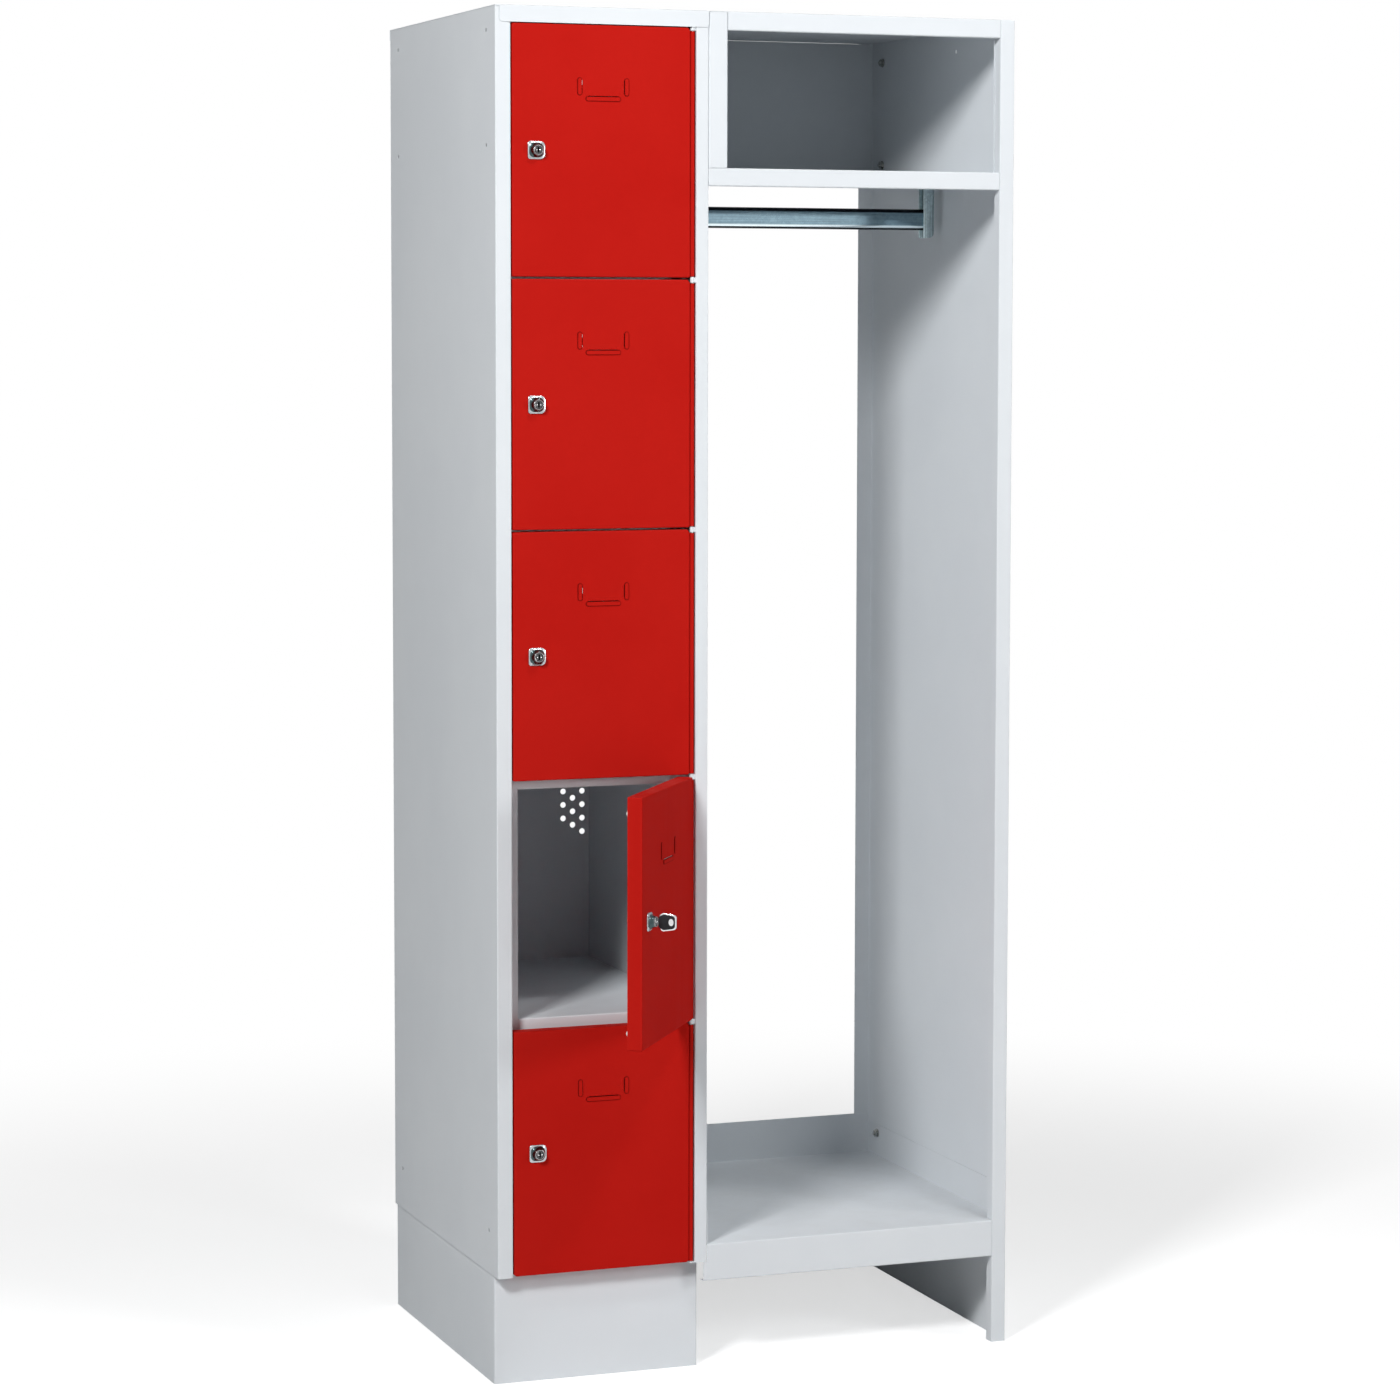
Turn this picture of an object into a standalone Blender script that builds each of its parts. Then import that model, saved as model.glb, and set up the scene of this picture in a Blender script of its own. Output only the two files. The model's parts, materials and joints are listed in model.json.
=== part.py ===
"""Compartment locker with an open hanging unit, folded from painted sheet steel.

A column of five small lockers stands on a plinth. An open unit with a hat box, a hanging
rail and a boot tray is bolted to its right side and ends in a tall end panel. Each door is
a folded pan that turns on loose pins, closes on two soft buffers and has a cam lock.

The locker frame used below has x to the right from the left side panel, y backwards from
the plane of the front strips, and z up from the floor. Metres throughout.
"""
import math

import bmesh
import bpy
from mathutils import Matrix, Vector

# Overall sizes
HEIGHT = 1.850
DEPTH = 0.500
COLUMN_WIDTH = 0.300
UNIT_WIDTH = 0.450
PLINTH_HEIGHT = 0.150

# Sheet metal and fits
SHEET = 0.001
BEND = 0.0006             # inner radius of a fold
FIT = 0.0003              # gap left between two pieces that touch
OVERRUN = 0.002           # how far a cut runs past the face it cuts
REAR_FLANGE = 0.024
COLUMN_REAR_FLANGE = 0.007   # narrow, so that it stays clear of the vents
FLANGE_HEM = 0.012

# Door column
DOOR_COUNT = 5
OPEN_DOOR = 4             # counted from the top
OPEN_ANGLE = 54.5         # degrees, as it stands in the photograph
SIDE_STRIP = 0.0215
PARTITION_STRIP = 0.0178
PARTITION_RETURN = 0.021
STOP_FLANGE = 0.015
FREE_GAP = 0.0020
HINGE_GAP = 0.0017
DOOR_GAP = 0.0028
TOP_GAP = 0.0010
BOTTOM_GAP = 0.0015
FASCIA = 0.022
FASCIA_INSET_LEFT = 0.006
FASCIA_INSET_RIGHT = 0.0005
FASCIA_CORNER = 0.004
TOP_REAR_FLANGE = 0.015
SHELF_FLANGE = 0.025
SHELF_SETBACK = 0.0013    # from the front of the stop flange to the shelf flange
BOTTOM_FLANGE = 0.013

# Door pan, knuckle and pins
DOOR_DEPTH = 0.020
DOOR_LIP = 0.012
DOOR_CORNER = 0.0022
LAST_DOOR_CORNER = 0.0042
KNUCKLE_R = 0.003
KNUCKLE_GROOVE = 0.0008
KNUCKLE_WEB = 0.001
NOTCH_TOP = 0.005
NOTCH_BOTTOM = 0.0015
NOTCH_SLANT = 0.004
EAR_PLAY = 0.0012
EAR_HEIGHT = 0.0069
PIN_R = 0.0015
PIN_PLAY = 0.0003
PIN_REACH = 0.008         # how far a pin goes into a knuckle
PIN_CHAMFER = 0.0004

# Label holder pressed in each door
TAB_WIDTH = 0.006
TAB_HEIGHT = 0.023
TAB_LONG = 0.049
TAB_RAISE = 0.0009
TAB_SPACE = 0.060         # between the two upright tabs
TAB_TOP = 0.070           # from the door's top to the upright tabs
TAB_DROP = 0.0045         # from the upright tabs' lower ends to the long tab's centre
TAB_CENTRE = 0.1267       # from the door's free edge to the middle of the label
TAB_SLIT = 0.0009         # open edge of a tab, where the label slides in
TAB_SLIT_END = 0.0030     # from the slit's end to the tab's end

# Buffers
BUFFER_R = 0.004
BUFFER_HEIGHT = 0.0032
BUFFER_STEM_R = 0.0018
BUFFER_STEM = 0.003
BUFFER_INSET = 0.022      # from the door's top and bottom edges

# Cam locks
LOCK_INSET = 0.033        # from the door's free edge
LOCK_PROUD = 0.0105
ROSETTE_HALF = 0.0120
ROSETTE_EDGE = 0.0009
NOSE_R = 0.0070
NOSE_ROUND = 0.0008
BARREL_R = 0.0080
LOCK_NUT_HALF = 0.0105
LOCK_NUT = 0.004
PLUG_R = 0.0050
PLUG_RECESS = 0.0004
SPIGOT_HALF = 0.0030
SCREW_R = 0.0045
SCREW_HEAD = 0.0018
CAM_PLAY = 0.0010         # between the stop flange and the cam
CAM = 0.002
CAM_LENGTH = 0.028
CAM_HALF = 0.006
CAM_HEAD_R = 0.008

# Key
BLADE = 0.0018
BLADE_HEIGHT = 0.0070
BLADE_LENGTH = 0.022
KEY_NECK = 0.004
KEY_NECK_HALF = 0.0045
BOW_LENGTH = 0.025
BOW_HALF_NEAR = 0.0085
BOW_HALF_FAR = 0.012
BOW_THICKNESS = 0.0030
BOW_CORNER = 0.004
BOW_HOLE_HALF = 0.0028
BOW_HOLE_LENGTH = 0.008
BOW_HOLE_END = 0.005      # from the hole to the far end of the bow

# Vent holes in the back, one group at each side of every compartment
VENT_R = 0.00425
VENT_FIRST = 0.011        # from the side wall to the nearest column of holes
VENT_COLUMN = 0.0147
VENT_ROW = 0.020
VENT_DROP = 0.0837        # from the shelf flange above to the middle of the group
VENT_COUNTS = (5, 4, 3)   # holes in each column, from the side wall inwards

# Plinth
PLINTH_SHEET = 0.0015
PLINTH_SETBACK = 0.0245
PLINTH_INSET_LEFT = 0.0024
PLINTH_INSET_RIGHT = 0.0055
PLINTH_INSET_REAR = 0.002
PLINTH_FLANGE = 0.020
PLINTH_FOOT = 0.010

# Open unit
END_STRIP = 0.0215
END_RETURN = 0.017
POST = 0.027
POST_RETURN = 0.017
HAT_FLANGE_SHOW = 0.002   # how far the hat box's flange shows beside the end strip
HAT_RAIL = 0.025
HAT_BOX_HEIGHT = 0.209    # from the hat shelf to the top of the unit
HAT_SHELF_RAIL = 0.024
HAT_SHELF_REAR = 0.005    # short flange along the shelf's rear edge
TRAY_Z = 0.174
TRAY_FLANGE = 0.051
TRAY_BACK = 0.059
TRAY_SIDE = 0.048

# Hanging rail
RAIL_HEIGHT = 0.030
RAIL_THICKNESS = 0.015
RAIL_WALL = 0.0012
RAIL_DROP = 0.059         # from the hat shelf to the middle of the rail
BRACKET_SHEET = 0.0015
BRACKET_WIDTH = 0.017
BRACKET_DROP = 0.011      # below the rail
BRACKET_CORNER = 0.009
BRACKET_CLEAR = 0.012     # from the bracket to the wall beside it

# Joining holes and bolts
JOIN_HOLE_R = 0.0029
JOIN_FRONT = 0.040        # from the front of the strips
JOIN_REAR = 0.041         # from the rear face
JOIN_TOP = 0.031          # from the top
JOIN_HAT = 0.027          # above the hat shelf
JOIN_TRAY = 0.035         # above the tray's floor
SPARE_HOLE_Y = 0.193
BOLT_R = 0.0025
BOLT_HEAD_R = 0.0055
BOLT_HEAD = 0.0018
BOLT_END = 0.002
WASHER_R = 0.0065
WASHER = 0.001
NUT_HALF = 0.0042
NUT = 0.004

# Facets
FOLD_STEPS = 2
CORNER_STEPS = 4
TAB_STEPS = 2
KNUCKLE_STEPS = 10
PIN_SIDES = 10
HOLE_SIDES = 10
BUFFER_SIDES = 8
VENT_SIDES = 6
LOCK_SIDES = 16
SMOOTH_ANGLE = 35.0

# Shares
ROUND_END_SHARE = 0.95
FLARE_SHARES = (0.28, 0.76)   # of the nose's height and of the rosette's half width
SPIGOT_POWER = 12         # how square the ring of the spigot is

# Worked out from the sizes above
TOTAL_WIDTH = COLUMN_WIDTH + UNIT_WIDTH
STOP_Y = DOOR_DEPTH + BUFFER_HEIGHT + FIT
SHELF_Y = STOP_Y + SHELF_SETBACK
DOOR_WIDTH = COLUMN_WIDTH - SIDE_STRIP - PARTITION_STRIP - FREE_GAP - HINGE_GAP
DOOR_TOP = HEIGHT - FASCIA - TOP_GAP
DOOR_SPACE = DOOR_TOP - PLINTH_HEIGHT - BOTTOM_GAP
DOOR_HEIGHT = (DOOR_SPACE - (DOOR_COUNT - 1) * DOOR_GAP) / DOOR_COUNT
HINGE_X = COLUMN_WIDTH - PARTITION_STRIP - HINGE_GAP - KNUCKLE_R
HINGE_Y = KNUCKLE_R
FREE_U = -(DOOR_WIDTH - KNUCKLE_R)
PAN_U = -(KNUCKLE_R + KNUCKLE_GROOVE)
LOCK_U = FREE_U + LOCK_INSET
CAM_Y = STOP_Y + SHEET + CAM_PLAY
BARREL_END = CAM_Y - FIT
BACK_Y = DEPTH - SHEET - FIT
HAT_SHELF_Z = HEIGHT - HAT_BOX_HEIGHT
RAIL_Z = HAT_SHELF_Z - RAIL_DROP
JOIN_REAR_Y = DEPTH - JOIN_REAR
JOIN_TOP_Z = HEIGHT - JOIN_TOP
JOIN_HAT_Z = HAT_SHELF_Z + JOIN_HAT
JOIN_TRAY_Z = TRAY_Z + JOIN_TRAY
UNIT_LEFT = COLUMN_WIDTH + FIT
UNIT_RIGHT = TOTAL_WIDTH - SHEET - FIT
END_INNER = TOTAL_WIDTH - END_STRIP
BODY_TOP = HEIGHT - SHEET - FIT
TOP_FRONT = -(FIT + SHEET)
REAR_REACH = DEPTH + FIT + SHEET
RIGHT_REACH = TOTAL_WIDTH + FIT + BOLT_HEAD
KEY_REACH = LOCK_PROUD + KEY_NECK + BOW_LENGTH


def door_bottom(number):
    """Height of the lower edge of a door, counted from the top."""
    return DOOR_TOP - number * DOOR_HEIGHT - (number - 1) * DOOR_GAP


def front_reach():
    """How far the open door and its key reach in front of the strips."""
    angle = math.radians(OPEN_ANGLE)
    corner = math.sin(angle) * FREE_U - math.cos(angle) * KNUCKLE_R
    key_edge = LOCK_U - BOW_THICKNESS / 2
    key = math.sin(angle) * key_edge - math.cos(angle) * (KNUCKLE_R + KEY_REACH)
    return -min(corner, key) - HINGE_Y


LOCKER_X = -RIGHT_REACH / 2
LOCKER_Y = -(REAR_REACH - front_reach()) / 2


def clear_scene():
    for item in list(bpy.data.objects):
        bpy.data.objects.remove(item, do_unlink=True)


def paint(name, colour, roughness, metallic):
    """A plain finish with one colour."""
    finish = bpy.data.materials.new(name)
    finish.use_nodes = True
    shader = finish.node_tree.nodes["Principled BSDF"]
    shader.inputs["Base Color"].default_value = (*colour, 1.0)
    shader.inputs["Roughness"].default_value = roughness
    shader.inputs["Metallic"].default_value = metallic
    return finish


def body_paint(name):
    return paint(name + "_light_grey", (0.60, 0.63, 0.64), 0.45, 0.0)


def door_paint(name):
    return paint(name + "_red", (0.56, 0.014, 0.010), 0.40, 0.0)


def zinc_plate(name):
    return paint(name + "_zinc", (0.48, 0.53, 0.57), 0.35, 1.0)


def chrome_plate(name):
    return paint(name + "_chrome", (0.70, 0.71, 0.72), 0.15, 1.0)


def white_plastic(name):
    return paint(name + "_white", (0.85, 0.85, 0.84), 0.50, 0.0)


def key_plastic(name):
    return paint(name + "_dark", (0.05, 0.05, 0.055), 0.40, 0.0)


def new_object(name, shape, finish=None, parent=None, place=(0, 0, 0)):
    """Turn a bmesh into an object with round sides shaded smooth."""
    bmesh.ops.recalc_face_normals(shape, faces=shape.faces)
    mesh = bpy.data.meshes.new(name)
    shape.to_mesh(mesh)
    shape.free()
    mesh.shade_smooth()
    mesh.set_sharp_from_angle(angle=math.radians(SMOOTH_ANGLE))
    item = bpy.data.objects.new(name, mesh)
    bpy.context.scene.collection.objects.link(item)
    if finish is not None:
        mesh.materials.append(finish)
    item.parent = parent
    item.location = place
    return item


def repeat_object(name, original, finish, parent, place):
    """Another object with the same mesh and its own material."""
    item = bpy.data.objects.new(name, original.data.copy())
    item.data.name = name
    item.data.materials.clear()
    item.data.materials.append(finish)
    bpy.context.scene.collection.objects.link(item)
    item.parent = parent
    item.location = place
    return item


def combine(item, shape, operation):
    """Cut a shape out of an object, or join it on, and keep the result."""
    tool = new_object(item.name + "_tool", shape, parent=item)
    tool.hide_render = True
    tool.display_type = "WIRE"
    step = item.modifiers.new(operation.lower(), "BOOLEAN")
    step.operation = operation
    step.solver = "EXACT"
    step.object = tool
    bpy.context.view_layer.update()
    graph = bpy.context.evaluated_depsgraph_get()
    result = bpy.data.meshes.new_from_object(item.evaluated_get(graph))
    item.modifiers.clear()
    item.data = result
    item.data.name = item.name
    bpy.data.objects.remove(tool, do_unlink=True)
    result.shade_smooth()
    result.set_sharp_from_angle(angle=math.radians(SMOOTH_ANGLE))


def arc(centre, radius, start, end, steps):
    """Points on a circle between two angles in degrees, both ends included."""
    angles = [start + (end - start) * step / steps for step in range(steps + 1)]
    turns = [math.radians(angle) for angle in angles]
    return [(centre[0] + radius * math.cos(t), centre[1] + radius * math.sin(t)) for t in turns]


def rounded_outline(low, high, corners, steps=CORNER_STEPS):
    """A rectangle with its own radius at each corner, from the lower left, anticlockwise."""
    lower_left, lower_right, upper_right, upper_left = corners
    points = arc((low[0] + lower_left, low[1] + lower_left), lower_left, 180, 270, steps)
    points += arc((high[0] - lower_right, low[1] + lower_right), lower_right, 270, 360, steps)
    points += arc((high[0] - upper_right, high[1] - upper_right), upper_right, 0, 90, steps)
    points += arc((low[0] + upper_left, high[1] - upper_left), upper_left, 90, 180, steps)
    return points


def folded_outline(path, sheet=SHEET, bend=BEND, steps=FOLD_STEPS):
    """Outline of a folded sheet. The path runs along one face, with the sheet on its left."""
    points = [Vector(point) for point in path]
    headings = [(b - a).normalized() for a, b in zip(points, points[1:])]
    lefts = [Vector((-heading.y, heading.x)) for heading in headings]
    face = [points[0]]
    back = [points[0] + lefts[0] * sheet]
    for index, corner in enumerate(points[1:-1]):
        into, out = headings[index], headings[index + 1]
        turn = into.x * out.y - into.y * out.x
        side = 1 if turn > 0 else -1
        angle = into.angle(out)
        face_radius = bend + sheet if side > 0 else bend
        back_radius = bend if side > 0 else bend + sheet
        centre = corner - into * face_radius * math.tan(angle / 2) + lefts[index] * side * face_radius
        spoke = lefts[index] * -side
        for step in range(steps + 1):
            part = side * angle * step / steps
            turned = Matrix.Rotation(part, 2) @ spoke
            face.append(centre + turned * face_radius)
            back.append(centre + turned * back_radius)
    face.append(points[-1])
    back.append(points[-1] + lefts[-1] * sheet)
    return [tuple(point) for point in face + back[::-1]]


def prism(outline, start, end, axis="Z"):
    """Extrude an outline. Along X the outline holds (y, z), along Y (x, z), along Z (x, y)."""
    shape = bmesh.new()
    add_prism(shape, outline, start, end, axis)
    return shape


def add_prism(shape, outline, start, end, axis="Z"):
    verts = [shape.verts.new(lift(point, start, axis)) for point in outline]
    face = shape.faces.new(verts)
    result = bmesh.ops.extrude_face_region(shape, geom=[face])
    moved = [part for part in result["geom"] if isinstance(part, bmesh.types.BMVert)]
    bmesh.ops.translate(shape, verts=moved, vec=Vector(lift((0, 0), end - start, axis)))


def lift(point, level, axis):
    """Place an outline's point at a level along an axis."""
    first, second = point
    if axis == "X":
        return (level, first, second)
    if axis == "Y":
        return (first, level, second)
    return (first, second, level)


def add_box(shape, low, high):
    size = [b - a for a, b in zip(low, high)]
    middle = [(a + b) / 2 for a, b in zip(low, high)]
    place = Matrix.Translation(middle) @ Matrix.Diagonal((*size, 1))
    bmesh.ops.create_cube(shape, size=1, matrix=place)


def add_rod(shape, start, end, radius, sides, axis):
    """A plain cylinder between two points that lie along one axis."""
    turns = {"X": Matrix.Rotation(math.radians(90), 4, "Y"),
             "Y": Matrix.Rotation(math.radians(90), 4, "X"), "Z": Matrix.Identity(4)}
    start, end = Vector(start), Vector(end)
    place = Matrix.Translation((start + end) / 2) @ turns[axis]
    bmesh.ops.create_cone(shape, cap_ends=True, segments=sides, radius1=radius, radius2=radius,
                          depth=(end - start).length, matrix=place)


def section(size, angle, power):
    """Radius of a rounded square: a power of 2 is a circle, a higher one is squarer."""
    across = abs(math.cos(angle)) ** power + abs(math.sin(angle)) ** power
    return size / across ** (1 / power)


def hexagon(size, angle):
    """Radius of a hexagon that is twice size across its flats."""
    turn = math.radians(60)
    return size / math.cos((angle + turn / 2) % turn - turn / 2)


def ring(level, size, axis, sides, power=2, six=False):
    """Points round an axis at one level along it."""
    points = []
    for step in range(sides):
        angle = math.tau * step / sides
        radius = hexagon(size, angle) if six else section(size, angle, power)
        points.append(lift((radius * math.cos(angle), radius * math.sin(angle)), level, axis))
    return points


def loft(rings, hollow=False):
    """Skin a row of rings, closed by end faces or, if hollow, back to the first ring."""
    shape = bmesh.new()
    rows = [[shape.verts.new(point) for point in points] for points in rings]
    pairs = list(zip(rows, rows[1:]))
    if hollow:
        pairs.append((rows[-1], rows[0]))
    else:
        shape.faces.new(rows[0])
        shape.faces.new(rows[-1])
    for first, second in pairs:
        for index in range(len(first)):
            after = (index + 1) % len(first)
            shape.faces.new((first[index], first[after], second[after], second[index]))
    return shape


def joining_holes(places, low, high):
    """Cutter for round holes through upright sheets; places hold (y, z)."""
    shape = bmesh.new()
    for y, z in places:
        add_rod(shape, (low, y, z), (high, y, z), JOIN_HOLE_R, HOLE_SIDES, "X")
    return shape


def make_left_side_panel(locker):
    path = [(COLUMN_REAR_FLANGE, DEPTH), (0, DEPTH), (0, 0), (SIDE_STRIP, 0), (SIDE_STRIP, STOP_Y),
            (SIDE_STRIP + STOP_FLANGE, STOP_Y)]
    shape = prism(folded_outline(path), PLINTH_HEIGHT, BODY_TOP)
    panel = new_object("left_side_panel", shape, body_paint("side"), locker)
    places = [(y, z) for y in (JOIN_FRONT, JOIN_REAR_Y)
              for z in (JOIN_TOP_Z, JOIN_HAT_Z, JOIN_TRAY_Z)]
    combine(panel, joining_holes(places, -OVERRUN, SHEET + OVERRUN), "DIFFERENCE")


def ear_levels():
    """Lower and upper level of each hinge ear, from the top."""
    levels = []
    for number in range(DOOR_COUNT):
        low = door_bottom(number) - DOOR_GAP - NOTCH_TOP + EAR_PLAY if number else 0
        low = low or DOOR_TOP - NOTCH_TOP + EAR_PLAY
        levels.append((low, low + EAR_HEIGHT))
    levels.append((PLINTH_HEIGHT, door_bottom(DOOR_COUNT) + NOTCH_BOTTOM - EAR_PLAY))
    return levels


def make_partition_panel(locker):
    strip = COLUMN_WIDTH - PARTITION_STRIP
    path = [(strip, PARTITION_RETURN), (strip, 0), (COLUMN_WIDTH, 0), (COLUMN_WIDTH, DEPTH),
            (COLUMN_WIDTH - COLUMN_REAR_FLANGE, DEPTH)]
    shape = prism(folded_outline(path), PLINTH_HEIGHT, BODY_TOP)
    panel = new_object("partition_panel", shape, body_paint("partition"), locker)
    nose = arc((HINGE_X, HINGE_Y), KNUCKLE_R, 90, 270, CORNER_STEPS)
    root = strip + SHEET / 2
    outline = nose + [(root, HINGE_Y - KNUCKLE_R / 2), (root, HINGE_Y + KNUCKLE_R)]
    ears = bmesh.new()
    holes = joining_holes([(JOIN_REAR_Y, JOIN_TOP_Z), (JOIN_REAR_Y, JOIN_HAT_Z),
                           (JOIN_FRONT, JOIN_TRAY_Z), (JOIN_REAR_Y, JOIN_TRAY_Z)],
                          COLUMN_WIDTH - SHEET - OVERRUN, COLUMN_WIDTH + OVERRUN)
    for low, high in ear_levels():
        add_prism(ears, outline, low, high)
        add_rod(holes, (HINGE_X, HINGE_Y, low - OVERRUN), (HINGE_X, HINGE_Y, high + OVERRUN),
                PIN_R + PIN_PLAY, PIN_SIDES, "Z")
    combine(panel, ears, "UNION")
    combine(panel, holes, "DIFFERENCE")


def make_hinge_pins(locker):
    for number, (low, high) in enumerate(ear_levels(), start=1):
        start = low - (PIN_REACH + EAR_PLAY if number <= DOOR_COUNT else 0)
        end = high + (PIN_REACH + EAR_PLAY if number > 1 else 0)
        small = PIN_R - PIN_CHAMFER
        rings = [ring(start, small, "Z", PIN_SIDES), ring(start + PIN_CHAMFER, PIN_R, "Z", PIN_SIDES),
                 ring(end - PIN_CHAMFER, PIN_R, "Z", PIN_SIDES), ring(end, small, "Z", PIN_SIDES)]
        name = f"hinge_pin_{number}"
        new_object(name, loft(rings), zinc_plate(name), locker, (HINGE_X, HINGE_Y, 0))


def make_top_panel(locker):
    low = HEIGHT - FASCIA
    path = [(REAR_REACH, HEIGHT - TOP_REAR_FLANGE), (REAR_REACH, HEIGHT), (TOP_FRONT, HEIGHT),
            (TOP_FRONT, low)]
    shape = prism(folded_outline(path), 0, COLUMN_WIDTH, "X")
    panel = new_object("top_panel", shape, body_paint("top"), locker)
    ends = bmesh.new()
    high = HEIGHT - SHEET - BEND
    left = FASCIA_INSET_LEFT
    right = COLUMN_WIDTH - FASCIA_INSET_RIGHT
    corner = FASCIA_CORNER
    outline = [(-OVERRUN, high), (-OVERRUN, low - OVERRUN), (left + corner, low - OVERRUN)]
    outline += arc((left + corner, low + corner), corner, 270, 180, CORNER_STEPS)
    add_prism(ends, outline + [(left, high)], TOP_FRONT - OVERRUN, OVERRUN, "Y")
    outline = [(COLUMN_WIDTH + OVERRUN, high), (COLUMN_WIDTH + OVERRUN, low - OVERRUN)]
    outline += [(right - corner, low - OVERRUN)]
    outline += arc((right - corner, low + corner), corner, 270, 360, CORNER_STEPS)
    add_prism(ends, outline + [(right, high)], TOP_FRONT - OVERRUN, OVERRUN, "Y")
    combine(panel, ends, "DIFFERENCE")


def shelf_top(number):
    """Level of the shelf below a door, counted from the top."""
    return door_bottom(number) - DOOR_GAP / 2 + SHELF_FLANGE / 2


def make_shelves(locker):
    inside = (SHEET + FIT, COLUMN_WIDTH - SHEET - FIT)
    rear = BACK_Y - SHEET - FIT
    levels = [(f"shelf_{n}", shelf_top(n), SHELF_FLANGE) for n in range(1, DOOR_COUNT)]
    levels.append(("bottom_panel", PLINTH_HEIGHT + BOTTOM_FLANGE, BOTTOM_FLANGE))
    for name, top, flange in levels:
        path = [(rear, -FLANGE_HEM), (rear, 0), (SHELF_Y, 0), (SHELF_Y, -flange),
                (SHELF_Y + FLANGE_HEM, -flange)]
        shape = prism(folded_outline(path), inside[0], inside[1], "X")
        new_object(name, shape, body_paint(name), locker, (0, 0, top))


def vent_places():
    """Centres (x, z) of the vent holes of every compartment."""
    places = []
    for number in range(1, DOOR_COUNT + 1):
        above = shelf_top(number - 1) - SHELF_FLANGE if number > 1 else DOOR_TOP
        middle = above - VENT_DROP
        for column, count in enumerate(VENT_COUNTS):
            offset = SHEET + VENT_FIRST + column * VENT_COLUMN
            for row in range(count):
                z = middle + (row - (count - 1) / 2) * VENT_ROW
                places += [(offset, z), (COLUMN_WIDTH - offset, z)]
    return places


def make_back_panel(locker):
    shape = bmesh.new()
    low = (SHEET + FIT, BACK_Y - SHEET, PLINTH_HEIGHT)
    add_box(shape, low, (COLUMN_WIDTH - SHEET - FIT, BACK_Y, BODY_TOP))
    panel = new_object("back_panel", shape, body_paint("back"), locker)
    holes = bmesh.new()
    for x, z in vent_places():
        add_rod(holes, (x, BACK_Y - SHEET - OVERRUN, z), (x, BACK_Y + OVERRUN, z), VENT_R,
                VENT_SIDES, "Y")
    combine(panel, holes, "DIFFERENCE")


def make_plinth(locker):
    low = (PLINTH_INSET_LEFT, PLINTH_SETBACK)
    high = (COLUMN_WIDTH - PLINTH_INSET_RIGHT, DEPTH - PLINTH_INSET_REAR)
    top = PLINTH_HEIGHT - FIT
    corner = BEND + PLINTH_SHEET
    shape = prism(rounded_outline(low, high, [corner] * 4, FOLD_STEPS), 0, top)
    plinth = new_object("plinth", shape, body_paint("plinth"), locker)
    hollow = bmesh.new()
    inner_low = [value + PLINTH_SHEET for value in low]
    inner_high = [value - PLINTH_SHEET for value in high]
    add_box(hollow, (*inner_low, PLINTH_SHEET), (*inner_high, top - PLINTH_SHEET))
    combine(plinth, hollow, "DIFFERENCE")
    window = bmesh.new()
    foot_low = [value + PLINTH_FOOT for value in inner_low]
    foot_high = [value - PLINTH_FOOT for value in inner_high]
    add_box(window, (*foot_low, -OVERRUN), (*foot_high, PLINTH_SHEET + OVERRUN))
    rim_low = [value + PLINTH_FLANGE for value in inner_low]
    rim_high = [value - PLINTH_FLANGE for value in inner_high]
    add_box(window, (*rim_low, top - PLINTH_SHEET - OVERRUN), (*rim_high, top + OVERRUN))
    combine(plinth, window, "DIFFERENCE")


def pan_hollow(height):
    """Cutter for the inside of a door pan, with a window between the rear lips."""
    shape = bmesh.new()
    rear = DOOR_DEPTH - KNUCKLE_R - SHEET
    low = (FREE_U + SHEET, -KNUCKLE_R + SHEET, SHEET)
    high = (PAN_U - SHEET, rear, height - SHEET)
    add_box(shape, low, high)
    back = max(shape.faces, key=lambda face: face.calc_center_median().y)
    bmesh.ops.inset_region(shape, faces=[back], thickness=DOOR_LIP - SHEET)
    result = bmesh.ops.extrude_face_region(shape, geom=[back])
    moved = [part for part in result["geom"] if isinstance(part, bmesh.types.BMVert)]
    bmesh.ops.translate(shape, verts=moved, vec=(0, SHEET + OVERRUN, 0))
    bmesh.ops.delete(shape, geom=[back], context="FACES")
    return shape


def stadium(shape, centre, half_width, half_height, level, raise_by):
    """A raised tab with round ends on the front of a door."""
    radius = min(half_width, half_height)
    low = (centre[0] - half_width, centre[1] - half_height)
    high = (centre[0] + half_width, centre[1] + half_height)
    outline = rounded_outline(low, high, [radius * ROUND_END_SHARE] * 4, TAB_STEPS)
    add_prism(shape, outline, level - raise_by, level + SHEET / 2, "Y")


def label_tabs(height):
    """Centre and half sizes of each tab, with the side on which its slit lies."""
    middle = FREE_U + TAB_CENTRE
    upright = height - TAB_TOP - TAB_HEIGHT / 2
    tabs = []
    for side in (-1, 1):
        x = middle + side * (TAB_SPACE + TAB_WIDTH) / 2
        tabs.append(((x, upright), (TAB_WIDTH / 2, TAB_HEIGHT / 2), (-side, 0)))
    low = height - TAB_TOP - TAB_HEIGHT - TAB_DROP
    tabs.append(((middle, low), (TAB_LONG / 2, TAB_WIDTH / 2), (0, 1)))
    return tabs


def add_tab_slits(shape, height):
    """Cuts along the tabs' inner edges, through the door's front sheet."""
    for (x, z), (half_x, half_z), (side_x, side_z) in label_tabs(height):
        near_x = x + side_x * (half_x + TAB_SLIT / 2)
        near_z = z + side_z * (half_z + TAB_SLIT / 2)
        reach_x = TAB_SLIT / 2 if side_x else half_x - TAB_SLIT_END
        reach_z = TAB_SLIT / 2 if side_z else half_z - TAB_SLIT_END
        add_box(shape, (near_x - reach_x, -KNUCKLE_R - TAB_RAISE - OVERRUN, near_z - reach_z),
                (near_x + reach_x, -KNUCKLE_R + SHEET + OVERRUN, near_z + reach_z))


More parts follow.
